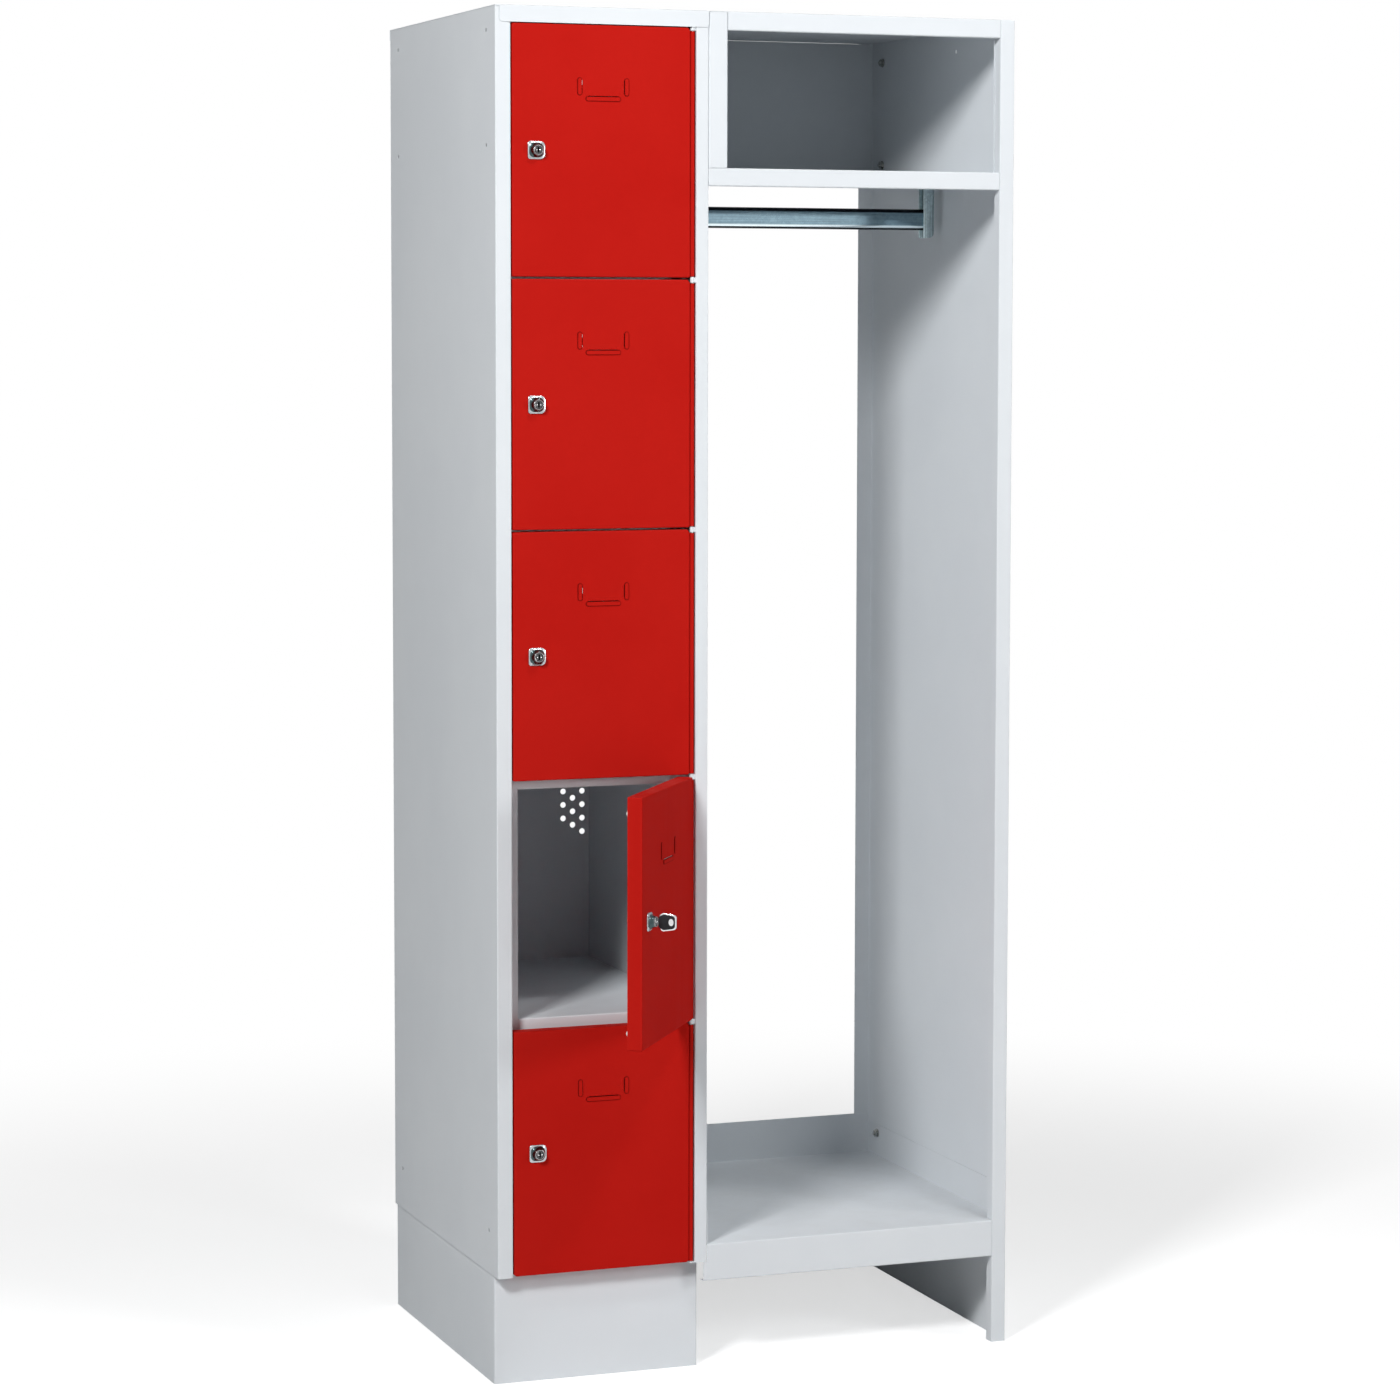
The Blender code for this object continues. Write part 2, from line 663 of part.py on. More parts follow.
def door_additions(height):
    """Knuckle with its web, and the three label tabs."""
    shape = bmesh.new()
    web = KNUCKLE_WEB / 2
    meet = math.degrees(math.asin(web / KNUCKLE_R))
    outline = [(PAN_U - SHEET / 2, web), (PAN_U - SHEET / 2, -web)]
    outline += arc((0, 0), KNUCKLE_R, -180 + meet, 180 - meet, KNUCKLE_STEPS)
    add_prism(shape, outline, NOTCH_BOTTOM, height - NOTCH_TOP)
    for centre, (half_width, half_height), _ in label_tabs(height):
        stadium(shape, centre, half_width, half_height, -KNUCKLE_R, TAB_RAISE)
    return shape


def door_cuts(height):
    """Knuckle bore, hinge corner notches, lock hole and buffer holes."""
    shape = bmesh.new()
    add_rod(shape, (0, 0, 0), (0, 0, height), PIN_R + PIN_PLAY, PIN_SIDES, "Z")
    front = -KNUCKLE_R - OVERRUN
    rear = DOOR_DEPTH - KNUCKLE_R + OVERRUN
    edge = PAN_U + KNUCKLE_GROOVE / 2
    top = [(PAN_U - NOTCH_SLANT, height + OVERRUN), (PAN_U - NOTCH_SLANT, height),
           (PAN_U, height - NOTCH_TOP), (edge, height - NOTCH_TOP), (edge, height + OVERRUN)]
    add_prism(shape, top, front, rear, "Y")
    bottom = [(PAN_U - NOTCH_BOTTOM, -OVERRUN), (PAN_U - NOTCH_BOTTOM, 0), (PAN_U, NOTCH_BOTTOM),
              (edge, NOTCH_BOTTOM), (edge, -OVERRUN)]
    add_prism(shape, bottom, front, rear, "Y")
    add_rod(shape, (LOCK_U, front, height / 2), (LOCK_U, -KNUCKLE_R + SHEET + OVERRUN, height / 2),
            BARREL_R + FIT, LOCK_SIDES, "Y")
    for z in (BUFFER_INSET, height - BUFFER_INSET):
        x = FREE_U + DOOR_LIP / 2
        add_rod(shape, (x, rear - OVERRUN - SHEET - OVERRUN, z), (x, rear, z),
                BUFFER_STEM_R + FIT, HOLE_SIDES, "Y")
    add_tab_slits(shape, height)
    return shape


def make_door(name, locker, corner):
    """A folded pan with its origin on the pin axis at its lower edge."""
    height = DOOR_HEIGHT
    outline = rounded_outline((FREE_U, 0), (PAN_U, height), [corner, corner, DOOR_CORNER, DOOR_CORNER])
    shape = prism(outline, -KNUCKLE_R, DOOR_DEPTH - KNUCKLE_R, "Y")
    front = [edge for edge in shape.edges if all(v.co.y < 0 for v in edge.verts)]
    bmesh.ops.bevel(shape, geom=front, offset=BEND + SHEET, offset_type="OFFSET", segments=FOLD_STEPS,
                    profile=0.5, affect="EDGES", material=-1, clamp_overlap=True)
    door = new_object(name, shape, door_paint(name), locker)
    combine(door, pan_hollow(height), "DIFFERENCE")
    combine(door, door_additions(height), "UNION")
    combine(door, door_cuts(height), "DIFFERENCE")
    return door


def lock_housing_shape():
    """Flared rosette, nose, threaded barrel and nut in one, with the plug's bore."""
    inner = PLUG_R + FIT
    rows = [(-LOCK_PROUD, NOSE_R - NOSE_ROUND, 2), (-LOCK_PROUD + NOSE_ROUND, NOSE_R, 2),
            (-LOCK_PROUD / 2, NOSE_R + NOSE_ROUND / 2, 2),
            (-LOCK_PROUD * FLARE_SHARES[0], ROSETTE_HALF * FLARE_SHARES[1], 3),
            (-ROSETTE_EDGE * 2, ROSETTE_HALF - NOSE_ROUND, 4), (-ROSETTE_EDGE, ROSETTE_HALF, 5),
            (-FIT, ROSETTE_HALF, 5), (-FIT, BARREL_R, 2), (SHEET + FIT, BARREL_R, 2)]
    rings = [ring(level, size, "Y", LOCK_SIDES, power) for level, size, power in rows]
    nut_end = SHEET + FIT + LOCK_NUT
    rings.append(ring(SHEET + FIT, LOCK_NUT_HALF, "Y", LOCK_SIDES, six=True))
    rings.append(ring(nut_end, LOCK_NUT_HALF, "Y", LOCK_SIDES, six=True))
    rings.append(ring(nut_end, BARREL_R, "Y", LOCK_SIDES))
    rings.append(ring(BARREL_END, BARREL_R, "Y", LOCK_SIDES))
    rings.append(ring(BARREL_END, inner, "Y", LOCK_SIDES))
    rings.append(ring(-LOCK_PROUD, inner, "Y", LOCK_SIDES))
    return loft(rings, hollow=True)


def lock_cylinder_shape():
    """Plug with a square spigot for the cam and a screw head behind it."""
    cam_end = CAM_Y + CAM + FIT
    rings = [ring(-LOCK_PROUD + PLUG_RECESS, PLUG_R, "Y", LOCK_SIDES),
             ring(BARREL_END, PLUG_R, "Y", LOCK_SIDES),
             ring(BARREL_END, SPIGOT_HALF, "Y", LOCK_SIDES, SPIGOT_POWER),
             ring(cam_end, SPIGOT_HALF, "Y", LOCK_SIDES, SPIGOT_POWER),
             ring(cam_end, SCREW_R, "Y", LOCK_SIDES),
             ring(cam_end + SCREW_HEAD, SCREW_R, "Y", LOCK_SIDES)]
    return loft(rings)


def make_lock_cylinder(name, parent, place):
    plug = new_object(name, lock_cylinder_shape(), chrome_plate(name), parent, place)
    keyway = bmesh.new()
    front = -LOCK_PROUD + PLUG_RECESS
    half = BLADE / 2 + FIT
    tall = BLADE_HEIGHT / 2 + FIT
    add_box(keyway, (-half, front - OVERRUN, -tall), (half, front + BLADE_LENGTH + FIT, tall))
    combine(plug, keyway, "DIFFERENCE")
    return plug


def make_lock_cam(name, parent, place):
    """Flat cam that points up when unlocked and turns a quarter to the left to lock."""
    lean = math.degrees(math.asin(CAM_HALF / CAM_HEAD_R))
    outline = arc((0, 0), CAM_HEAD_R, 90 + lean, 450 - lean, 3 * CORNER_STEPS)
    end = CAM_LENGTH - CAM_HALF
    outline += arc((0, end), CAM_HALF, 0, 180, CORNER_STEPS)
    shape = prism(outline, CAM_Y, CAM_Y + CAM, "Y")
    cam = new_object(name, shape, zinc_plate(name), parent, place)
    hole = bmesh.new()
    half = SPIGOT_HALF + FIT
    add_box(hole, (-half, CAM_Y - OVERRUN, -half), (half, CAM_Y + CAM + OVERRUN, half))
    combine(cam, hole, "DIFFERENCE")
    return cam


def buffer_shape():
    """Domed button on a short stem that goes through the door's lip."""
    rows = [(-SHEET - BUFFER_STEM, BUFFER_STEM_R), (FIT, BUFFER_STEM_R), (FIT, BUFFER_R)]
    for angle in (30, 60, 80):
        turn = math.radians(angle)
        rows.append((BUFFER_HEIGHT * math.sin(turn), BUFFER_R * math.cos(turn)))
    return loft([ring(level, size, "Y", BUFFER_SIDES) for level, size in rows])


def make_key(parent, place):
    """Flat key: the blade in the plug, then a short neck and a tapered bow."""
    start = -LOCK_PROUD - FIT
    neck = start - KEY_NECK
    far = start - KEY_NECK - BOW_LENGTH + FIT
    corner = BOW_CORNER
    bow = arc((far + corner, corner - BOW_HALF_FAR), corner, 270, 180, CORNER_STEPS)
    bow += arc((far + corner, BOW_HALF_FAR - corner), corner, 180, 90, CORNER_STEPS)
    bow += [(neck, BOW_HALF_NEAR), (neck, KEY_NECK_HALF), (start, KEY_NECK_HALF)]
    bow += [(start, -KEY_NECK_HALF), (neck, -KEY_NECK_HALF), (neck, -BOW_HALF_NEAR)]
    shape = prism(bow, -BOW_THICKNESS / 2, BOW_THICKNESS / 2, "X")
    key = new_object("key", shape, key_plastic("key"), parent, place)
    blade = bmesh.new()
    tip = -LOCK_PROUD + PLUG_RECESS + BLADE_LENGTH
    add_box(blade, (-BLADE / 2, neck, -BLADE_HEIGHT / 2), (BLADE / 2, tip, BLADE_HEIGHT / 2))
    combine(key, blade, "UNION")
    hole = bmesh.new()
    near = far + BOW_HOLE_END
    low = (near, -BOW_HOLE_HALF - BOW_HOLE_LENGTH / 4)
    high = (near + BOW_HOLE_HALF * 2, BOW_HOLE_HALF + BOW_HOLE_LENGTH / 4)
    oval = rounded_outline(low, high, [BOW_HOLE_HALF * ROUND_END_SHARE] * 4)
    add_prism(hole, oval, -BOW_THICKNESS, BOW_THICKNESS, "X")
    combine(key, hole, "DIFFERENCE")


def make_doors(locker):
    """Every door with its lock and buffers, placed on its pin axis."""
    first = make_door("door_1", locker, DOOR_CORNER)
    last = make_door(f"door_{DOOR_COUNT}", locker, LAST_DOOR_CORNER)
    lock_place = (LOCK_U, -KNUCKLE_R, DOOR_HEIGHT / 2)
    housing = cylinder = cam = button = None
    for number in range(1, DOOR_COUNT + 1):
        place = (HINGE_X, HINGE_Y, door_bottom(number))
        name = f"door_{number}"
        if number in (1, DOOR_COUNT):
            door = first if number == 1 else last
            door.location = place
        else:
            door = repeat_object(name, first, door_paint(name), locker, place)
        if number == OPEN_DOOR:
            door.rotation_euler.z = math.radians(OPEN_ANGLE)
        name = f"lock_housing_{number}"
        if housing is None:
            housing = new_object(name, lock_housing_shape(), chrome_plate(name), door, lock_place)
        else:
            repeat_object(name, housing, chrome_plate(name), door, lock_place)
        name = f"lock_cylinder_{number}"
        if cylinder is None:
            plug = cylinder = make_lock_cylinder(name, door, lock_place)
        else:
            plug = repeat_object(name, cylinder, chrome_plate(name), door, lock_place)
        name = f"lock_cam_{number}"
        if cam is None:
            cam = make_lock_cam(name, plug, (0, 0, 0))
        else:
            repeat_object(name, cam, zinc_plate(name), plug, (0, 0, 0))
        if number == OPEN_DOOR:
            make_key(plug, (0, 0, 0))
        for level, z in (("upper", DOOR_HEIGHT - BUFFER_INSET), ("lower", BUFFER_INSET)):
            name = f"door_buffer_{level}_{number}"
            place = (FREE_U + DOOR_LIP / 2, DOOR_DEPTH - KNUCKLE_R, z)
            if button is None:
                button = new_object(name, buffer_shape(), white_plastic(name), door, place)
            else:
                repeat_object(name, button, white_plastic(name), door, place)


def make_end_panel(locker):
    path = [(END_INNER, END_RETURN), (END_INNER, 0), (TOTAL_WIDTH, 0), (TOTAL_WIDTH, DEPTH),
            (TOTAL_WIDTH - REAR_FLANGE, DEPTH)]
    shape = prism(folded_outline(path), 0, HEIGHT)
    panel = new_object("end_panel", shape, body_paint("end"), locker)
    combine(panel, unit_holes(TOTAL_WIDTH - SHEET - OVERRUN, TOTAL_WIDTH + OVERRUN, True),
            "DIFFERENCE")


def unit_holes(low, high, tray):
    """Holes of the open unit's right side: hat box, spare ones and boot tray."""
    places = [(JOIN_REAR_Y, JOIN_TOP_Z), (JOIN_REAR_Y, JOIN_HAT_Z), (JOIN_FRONT, JOIN_HAT_Z),
              (SPARE_HOLE_Y, JOIN_TOP_Z)]
    if tray:
        places += [(JOIN_FRONT, JOIN_TRAY_Z), (JOIN_REAR_Y, JOIN_TRAY_Z)]
    return joining_holes(places, low, high)


def end_notch(shape, low, high):
    """Room for the end panel's front strip in a piece that reaches the panel."""
    add_box(shape, (END_INNER - FIT, -OVERRUN, low - OVERRUN),
            (UNIT_RIGHT + OVERRUN, END_RETURN + FIT, high + OVERRUN))


def make_hat_box(locker):
    flange_y = END_RETURN + FIT
    path = [(END_INNER - HAT_FLANGE_SHOW, flange_y), (UNIT_RIGHT, flange_y), (UNIT_RIGHT, BACK_Y),
            (UNIT_LEFT, BACK_Y), (UNIT_LEFT, 0), (COLUMN_WIDTH + POST, 0),
            (COLUMN_WIDTH + POST, POST_RETURN)]
    shape = prism(folded_outline(path), HAT_SHELF_Z + FIT, BODY_TOP)
    shell = new_object("hat_box_shell", shape, body_paint("shell"), locker)
    combine(shell, unit_holes(UNIT_RIGHT - SHEET - OVERRUN, UNIT_RIGHT + OVERRUN, False),
            "DIFFERENCE")
    path = [(BACK_Y, HEIGHT), (0, HEIGHT), (0, HEIGHT - HAT_RAIL), (FLANGE_HEM, HEIGHT - HAT_RAIL)]
    shape = prism(folded_outline(path), UNIT_LEFT, UNIT_RIGHT, "X")
    top = new_object("hat_box_top", shape, body_paint("hat_top"), locker)
    notches = bmesh.new()
    end_notch(notches, HEIGHT - HAT_RAIL, HEIGHT)
    add_box(notches, (UNIT_LEFT - OVERRUN, -OVERRUN, HEIGHT - HAT_RAIL - OVERRUN),
            (COLUMN_WIDTH + POST + FIT, FLANGE_HEM + OVERRUN, HEIGHT - SHEET))
    combine(top, notches, "DIFFERENCE")
    low = HAT_SHELF_Z - HAT_SHELF_RAIL
    path = [(BACK_Y, HAT_SHELF_Z - HAT_SHELF_REAR), (BACK_Y, HAT_SHELF_Z), (0, HAT_SHELF_Z), (0, low),
            (FLANGE_HEM, low)]
    shape = prism(folded_outline(path), UNIT_LEFT, UNIT_RIGHT, "X")
    shelf = new_object("hat_shelf", shape, body_paint("hat_shelf"), locker)
    notch = bmesh.new()
    end_notch(notch, low, HAT_SHELF_Z)
    combine(shelf, notch, "DIFFERENCE")


def bracket_span():
    """Outer and inner x of the left bracket, then inner and outer x of the right one."""
    left = UNIT_LEFT + BRACKET_CLEAR
    right = UNIT_RIGHT - BRACKET_CLEAR
    return left, left + BRACKET_WIDTH, right - BRACKET_WIDTH, right


def make_hanging_rail(locker):
    left, _, _, right = bracket_span()
    start = left + BRACKET_SHEET + FIT
    end = right - BRACKET_SHEET - FIT
    rings = []
    for level, wall in ((start, 0), (end, 0), (end, RAIL_WALL), (start, RAIL_WALL)):
        half = RAIL_THICKNESS / 2 - wall
        straight = (RAIL_HEIGHT - RAIL_THICKNESS) / 2
        outline = arc((0, straight), half, 0, 180, 2 * CORNER_STEPS)
        outline += arc((0, -straight), half, 180, 360, 2 * CORNER_STEPS)
        rings.append([lift(point, level, "X") for point in outline])
    new_object("hanging_rail", loft(rings, hollow=True), zinc_plate("rail"), locker,
               (0, DEPTH / 2, RAIL_Z))


def make_rail_brackets(locker):
    """Channels under the hat shelf whose flanges hold the ends of the rail."""
    left, left_inner, right_inner, right = bracket_span()
    half = RAIL_THICKNESS / 2 + FIT + BRACKET_SHEET
    top = HAT_SHELF_Z - SHEET - FIT - RAIL_Z
    low = -RAIL_HEIGHT / 2 - BRACKET_DROP
    sides = (("rail_bracket_left", left_inner, left), ("rail_bracket_right", right_inner, right))
    for name, inner, outer in sides:
        path = [(inner, -half), (outer, -half), (outer, half), (inner, half)]
        if outer < inner:
            path.reverse()
        shape = prism(folded_outline(path, BRACKET_SHEET), low, top)
        bracket = new_object(name, shape, zinc_plate(name), locker, (0, DEPTH / 2, RAIL_Z))
        corner = bmesh.new()
        way = 1 if outer > inner else -1
        past = outer + way * OVERRUN
        centre = (outer - way * BRACKET_CORNER, low + BRACKET_CORNER)
        outline = [(past, low + BRACKET_CORNER), (past, low - OVERRUN), (centre[0], low - OVERRUN)]
        round_end = arc(centre, BRACKET_CORNER, 270, 270 + way * 90, CORNER_STEPS)
        add_prism(corner, outline + round_end, -half - OVERRUN, half + OVERRUN, "Y")
        combine(bracket, corner, "DIFFERENCE")


def make_boot_tray(locker):
    low = TRAY_Z - TRAY_FLANGE
    rear = BACK_Y - SHEET
    ear = COLUMN_WIDTH - PLINTH_INSET_RIGHT + FIT
    path = [(rear, TRAY_Z + TRAY_BACK), (rear, TRAY_Z), (0, TRAY_Z), (0, low), (FLANGE_HEM, low)]
    shape = prism(folded_outline(path), ear, UNIT_RIGHT, "X")
    tray = new_object("boot_tray", shape, body_paint("tray"), locker)
    notches = bmesh.new()
    end_notch(notches, low, TRAY_Z)
    add_box(notches, (ear - OVERRUN, -OVERRUN, PLINTH_HEIGHT - FIT),
            (UNIT_LEFT, DEPTH + OVERRUN, TRAY_Z + TRAY_BACK + OVERRUN))
    add_box(notches, (ear - OVERRUN, PLINTH_SETBACK - FIT, low - OVERRUN),
            (UNIT_LEFT, DEPTH + OVERRUN, PLINTH_HEIGHT - FIT - OVERRUN))
    combine(tray, notches, "DIFFERENCE")
    sides = bmesh.new()
    bottom = TRAY_Z - SHEET
    top = TRAY_Z + TRAY_SIDE
    add_box(sides, (UNIT_LEFT, SHEET + BEND, bottom), (UNIT_LEFT + SHEET, rear + SHEET / 2, top))
    add_box(sides, (UNIT_RIGHT - SHEET, END_RETURN + FIT, bottom), (UNIT_RIGHT, rear + SHEET / 2, top))
    combine(tray, sides, "UNION")
    places = [(JOIN_FRONT, JOIN_TRAY_Z), (JOIN_REAR_Y, JOIN_TRAY_Z)]
    combine(tray, joining_holes(places, UNIT_RIGHT - SHEET - OVERRUN, UNIT_RIGHT + OVERRUN),
            "DIFFERENCE")


def bolt_shape():
    """Bolt through two sheets: flat head outside, washer and nut inside."""
    inside = -SHEET - FIT - SHEET - FIT
    nut = inside - WASHER - NUT
    rings = [ring(FIT + BOLT_HEAD, BOLT_HEAD_R, "X", HOLE_SIDES), ring(FIT, BOLT_HEAD_R, "X", HOLE_SIDES),
             ring(FIT, BOLT_R, "X", HOLE_SIDES), ring(inside, BOLT_R, "X", HOLE_SIDES),
             ring(inside, WASHER_R, "X", HOLE_SIDES), ring(inside - WASHER, WASHER_R, "X", HOLE_SIDES),
             ring(inside - WASHER, NUT_HALF, "X", HOLE_SIDES, six=True),
             ring(nut, NUT_HALF, "X", HOLE_SIDES, six=True), ring(nut, BOLT_R, "X", HOLE_SIDES),
             ring(nut - BOLT_END, BOLT_R, "X", HOLE_SIDES)]
    return loft(rings)


def make_bolts(locker):
    places = {"hat_box_bolt_upper": (JOIN_REAR_Y, JOIN_TOP_Z),
              "hat_box_bolt_lower": (JOIN_REAR_Y, JOIN_HAT_Z),
              "tray_bolt_rear": (JOIN_REAR_Y, JOIN_TRAY_Z),
              "tray_bolt_front": (JOIN_FRONT, JOIN_TRAY_Z)}
    for name, (y, z) in places.items():
        new_object(name, bolt_shape(), zinc_plate(name), locker, (TOTAL_WIDTH, y, z))


def build():
    clear_scene()
    locker = bpy.data.objects.new("locker", None)
    locker.location = (LOCKER_X, LOCKER_Y, 0)
    bpy.context.scene.collection.objects.link(locker)
    make_left_side_panel(locker)
    make_partition_panel(locker)
    make_hinge_pins(locker)
    make_top_panel(locker)
    make_shelves(locker)
    make_back_panel(locker)
    make_plinth(locker)
    make_doors(locker)
    make_end_panel(locker)
    make_hat_box(locker)
    make_hanging_rail(locker)
    make_rail_brackets(locker)
    make_boot_tray(locker)
    make_bolts(locker)
    bpy.context.view_layer.update()


build()
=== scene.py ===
# %% [markdown]
# # A compartment locker with an open coat space
# The real thing is folded from sheet steel and powder coated: a column of five small lockers
# with red doors stands beside an open unit with a hat box, a coat rail and a boot tray. The
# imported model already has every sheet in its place, so this lesson keeps those sheets, gives
# them their coatings, and makes the small turned, cast and moulded parts again with the round
# edges that a camera sees. The first cell loads the model, whose nodes all sit at the origin
# in metres, and measures its box.

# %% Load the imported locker
import json
import math

import bmesh
import bpy
from mathutils import Matrix, Vector

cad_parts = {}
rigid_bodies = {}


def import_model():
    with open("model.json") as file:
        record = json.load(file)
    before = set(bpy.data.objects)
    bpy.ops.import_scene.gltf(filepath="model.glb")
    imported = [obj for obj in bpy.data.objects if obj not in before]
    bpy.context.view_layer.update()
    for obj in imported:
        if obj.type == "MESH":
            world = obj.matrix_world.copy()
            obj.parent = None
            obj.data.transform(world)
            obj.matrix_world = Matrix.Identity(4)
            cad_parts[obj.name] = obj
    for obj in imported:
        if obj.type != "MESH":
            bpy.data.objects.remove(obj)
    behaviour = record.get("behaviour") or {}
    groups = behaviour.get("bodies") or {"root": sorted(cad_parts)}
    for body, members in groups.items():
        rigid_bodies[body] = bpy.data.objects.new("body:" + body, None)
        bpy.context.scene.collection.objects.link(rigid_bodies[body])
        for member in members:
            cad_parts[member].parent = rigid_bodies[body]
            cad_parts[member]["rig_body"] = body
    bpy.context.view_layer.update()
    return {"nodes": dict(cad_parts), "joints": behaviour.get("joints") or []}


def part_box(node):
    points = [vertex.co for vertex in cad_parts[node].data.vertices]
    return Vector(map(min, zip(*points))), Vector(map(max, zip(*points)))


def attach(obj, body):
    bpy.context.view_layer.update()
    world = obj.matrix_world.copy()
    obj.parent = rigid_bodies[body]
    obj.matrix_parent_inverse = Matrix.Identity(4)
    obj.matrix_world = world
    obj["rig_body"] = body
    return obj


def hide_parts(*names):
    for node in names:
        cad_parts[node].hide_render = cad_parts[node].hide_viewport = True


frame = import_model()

NODES = frame["nodes"]
JOINTS = {joint["name"]: joint for joint in frame["joints"]}
DOORS = range(1, 6)

# %% [markdown]
# ## Where the camera stands
# A photograph of a straight-sided cabinet gives its own camera away: the edges that run back
# meet at one point, and those that run up meet at another. The numbers below come from such
# a fit. The camera stands five metres off, left of the locker and a little above its middle,
# and looks slightly down. A long lens keeps the sides nearly parallel. The frame is counted
# as 1400 pixels wide, and the lens looks along a row above the middle, which is a small
# upright shift.

# %% Place the camera
FRAME_PIXELS = 1400
FOCAL_PIXELS = 3971.96
AXIS_ROW = 637
SENSOR_MM = 36.0
CAMERA_FROM_CORNER = Vector((-1.57923, -5.02388, 1.43092))
YAW, PITCH, ROLL = 0.35592, 0.07843, -0.0016

side_low, side_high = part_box("left_side_panel")
stand = Vector((side_low.x, side_low.y, 0)) + CAMERA_FROM_CORNER
ahead = Vector((math.sin(YAW) * math.cos(PITCH), math.cos(YAW) * math.cos(PITCH),
                -math.sin(PITCH)))
level_right = Vector((math.cos(YAW), -math.sin(YAW), 0))
down = ahead.cross(level_right)
right = level_right * math.cos(ROLL) + down * math.sin(ROLL)
below = down * math.cos(ROLL) - level_right * math.sin(ROLL)

lens = bpy.data.cameras.new("studio_camera")
lens.sensor_width = SENSOR_MM
lens.lens = FOCAL_PIXELS / FRAME_PIXELS * SENSOR_MM
lens.shift_y = (AXIS_ROW - FRAME_PIXELS / 2) / FRAME_PIXELS
camera = bpy.data.objects.new("studio_camera", lens)
camera.matrix_world = Matrix((right, -below, -ahead)).transposed().to_4x4()
camera.matrix_world.translation = stand
bpy.context.scene.collection.objects.link(camera)
bpy.context.scene.camera = camera
print("camera at", [round(v, 3) for v in stand], "lens", round(lens.lens, 2), "mm")

# %% [markdown]
# ## Lamps
# The photograph's shadows say where its key lamp is: it lights the inside of the end panel
# right back to the rear flange, so it stands to the left but not beside the unit, and the
# slanting edge that the hat shelf throws there gives its height. A small lamp above the front
# brightens the top a little more, and a soft one on the right lifts the open door. A weak
# one stands level behind, so that the back can be judged too. They are kept at a plain level,
# where a sheet that faces them renders about as its colour is written.

# %% Hang the lamps
LAMPS = (
    ("key", (-2.89, -2.98, 3.22), (0.0, 0.0, 1.0), 0.81, 158.0),
    ("top", (0.6, -1.5, 3.3), (0.1, 0.0, 1.2), 0.4, 19.0),
    ("right", (2.4, -2.6, 1.4), (0.0, 0.0, 0.9), 0.8, 35.0),
    ("back", (0.7, 3.4, 0.95), (0.0, 0.0, 0.95), 1.0, 8.0),
)


def hang_lamp(name, place, aim, size, watts):
    """A square soft lamp that looks at a point."""
    light = bpy.data.lights.new(name, "AREA")
    light.shape = "SQUARE"
    light.size = size
    light.energy = watts
    lamp = bpy.data.objects.new(name, light)
    lamp.location = place
    lamp.rotation_euler = (Vector(aim) - Vector(place)).to_track_quat("-Z", "Y").to_euler()
    bpy.context.scene.collection.objects.link(lamp)


for lamp in LAMPS:
    hang_lamp(*lamp)
print(len(LAMPS), "lamps")

# %% [markdown]
# ## Helpers for shader nodes
# Every finish below is a small tree of shader nodes, and these helpers keep its cells short.
# They add a node with its values or links, and open a node group with named sockets, so that
# grain or dust is built once and placed in each finish with its own numbers. Heights are in
# metres, so every bump has a distance of one metre.

# %% Node helpers
BUMP_METRES = 1.0


def add_node(tree, kind, inputs=None, **settings):
    """Adds a node; each input gets a plain value or a link from an output socket."""
    node = tree.nodes.new(kind)
    for name, value in settings.items():
        setattr(node, name, value)
    for name, value in (inputs or {}).items():
        if isinstance(value, bpy.types.NodeSocket):
            tree.links.new(value, node.inputs[name])
        else:
            node.inputs[name].default_value = value
    return node


def add_math(tree, operation, *values, clamp=False):
    return add_node(tree, "ShaderNodeMath", dict(enumerate(values)),
                    operation=operation, use_clamp=clamp).outputs[0]


def add_vector(tree, operation, *values, output=0):
    return add_node(tree, "ShaderNodeVectorMath", dict(enumerate(values)),
                    operation=operation).outputs[output]


def split(tree, vector):
    """The X, Y and Z of a vector."""
    return list(add_node(tree, "ShaderNodeSeparateXYZ", {0: vector}).outputs)


def combine(tree, *values):
    """A vector from its X, Y and Z."""
    return add_node(tree, "ShaderNodeCombineXYZ", dict(enumerate(values))).outputs[0]


def add_noise(tree, vector, size, detail, roughness=0.5, distortion=0.0):
    """Noise with lumps of a size in metres; gives its grey value."""
    scale = 1.0 / size if isinstance(size, float) else add_math(tree, "DIVIDE", 1.0, size)
    return add_node(tree, "ShaderNodeTexNoise",
                    {"Vector": vector, "Scale": scale, "Detail": detail,
                     "Roughness": roughness, "Distortion": distortion}).outputs["Fac"]


def add_ramp(tree, value, low, high, out_low=0.0, out_high=1.0):
    """Maps a range of a value to another, held at both ends and smooth between."""
    return add_node(tree, "ShaderNodeMapRange",
                    {"Value": value, "From Min": low, "From Max": high,
                     "To Min": out_low, "To Max": out_high},
                    interpolation_type="SMOOTHSTEP").outputs["Result"]


def add_bump(tree, height):
    return add_node(tree, "ShaderNodeBump",
                    {"Height": height, "Distance": BUMP_METRES, "Strength": 1.0}).outputs[0]


def mix_colours(tree, share, first, second):
    """Mixes two colours; the colour sockets of a Mix node are its seventh and eighth."""
    node = add_node(tree, "ShaderNodeMix", {0: share, 6: first, 7: second}, data_type="RGBA")
    return node.outputs[2]


def object_place(tree):
    return add_node(tree, "ShaderNodeTexCoord").outputs["Object"]


def upward(tree):
    """How far the surface faces up, from -1 to 1."""
    return split(tree, add_node(tree, "ShaderNodeNewGeometry").outputs["Normal"])[2]


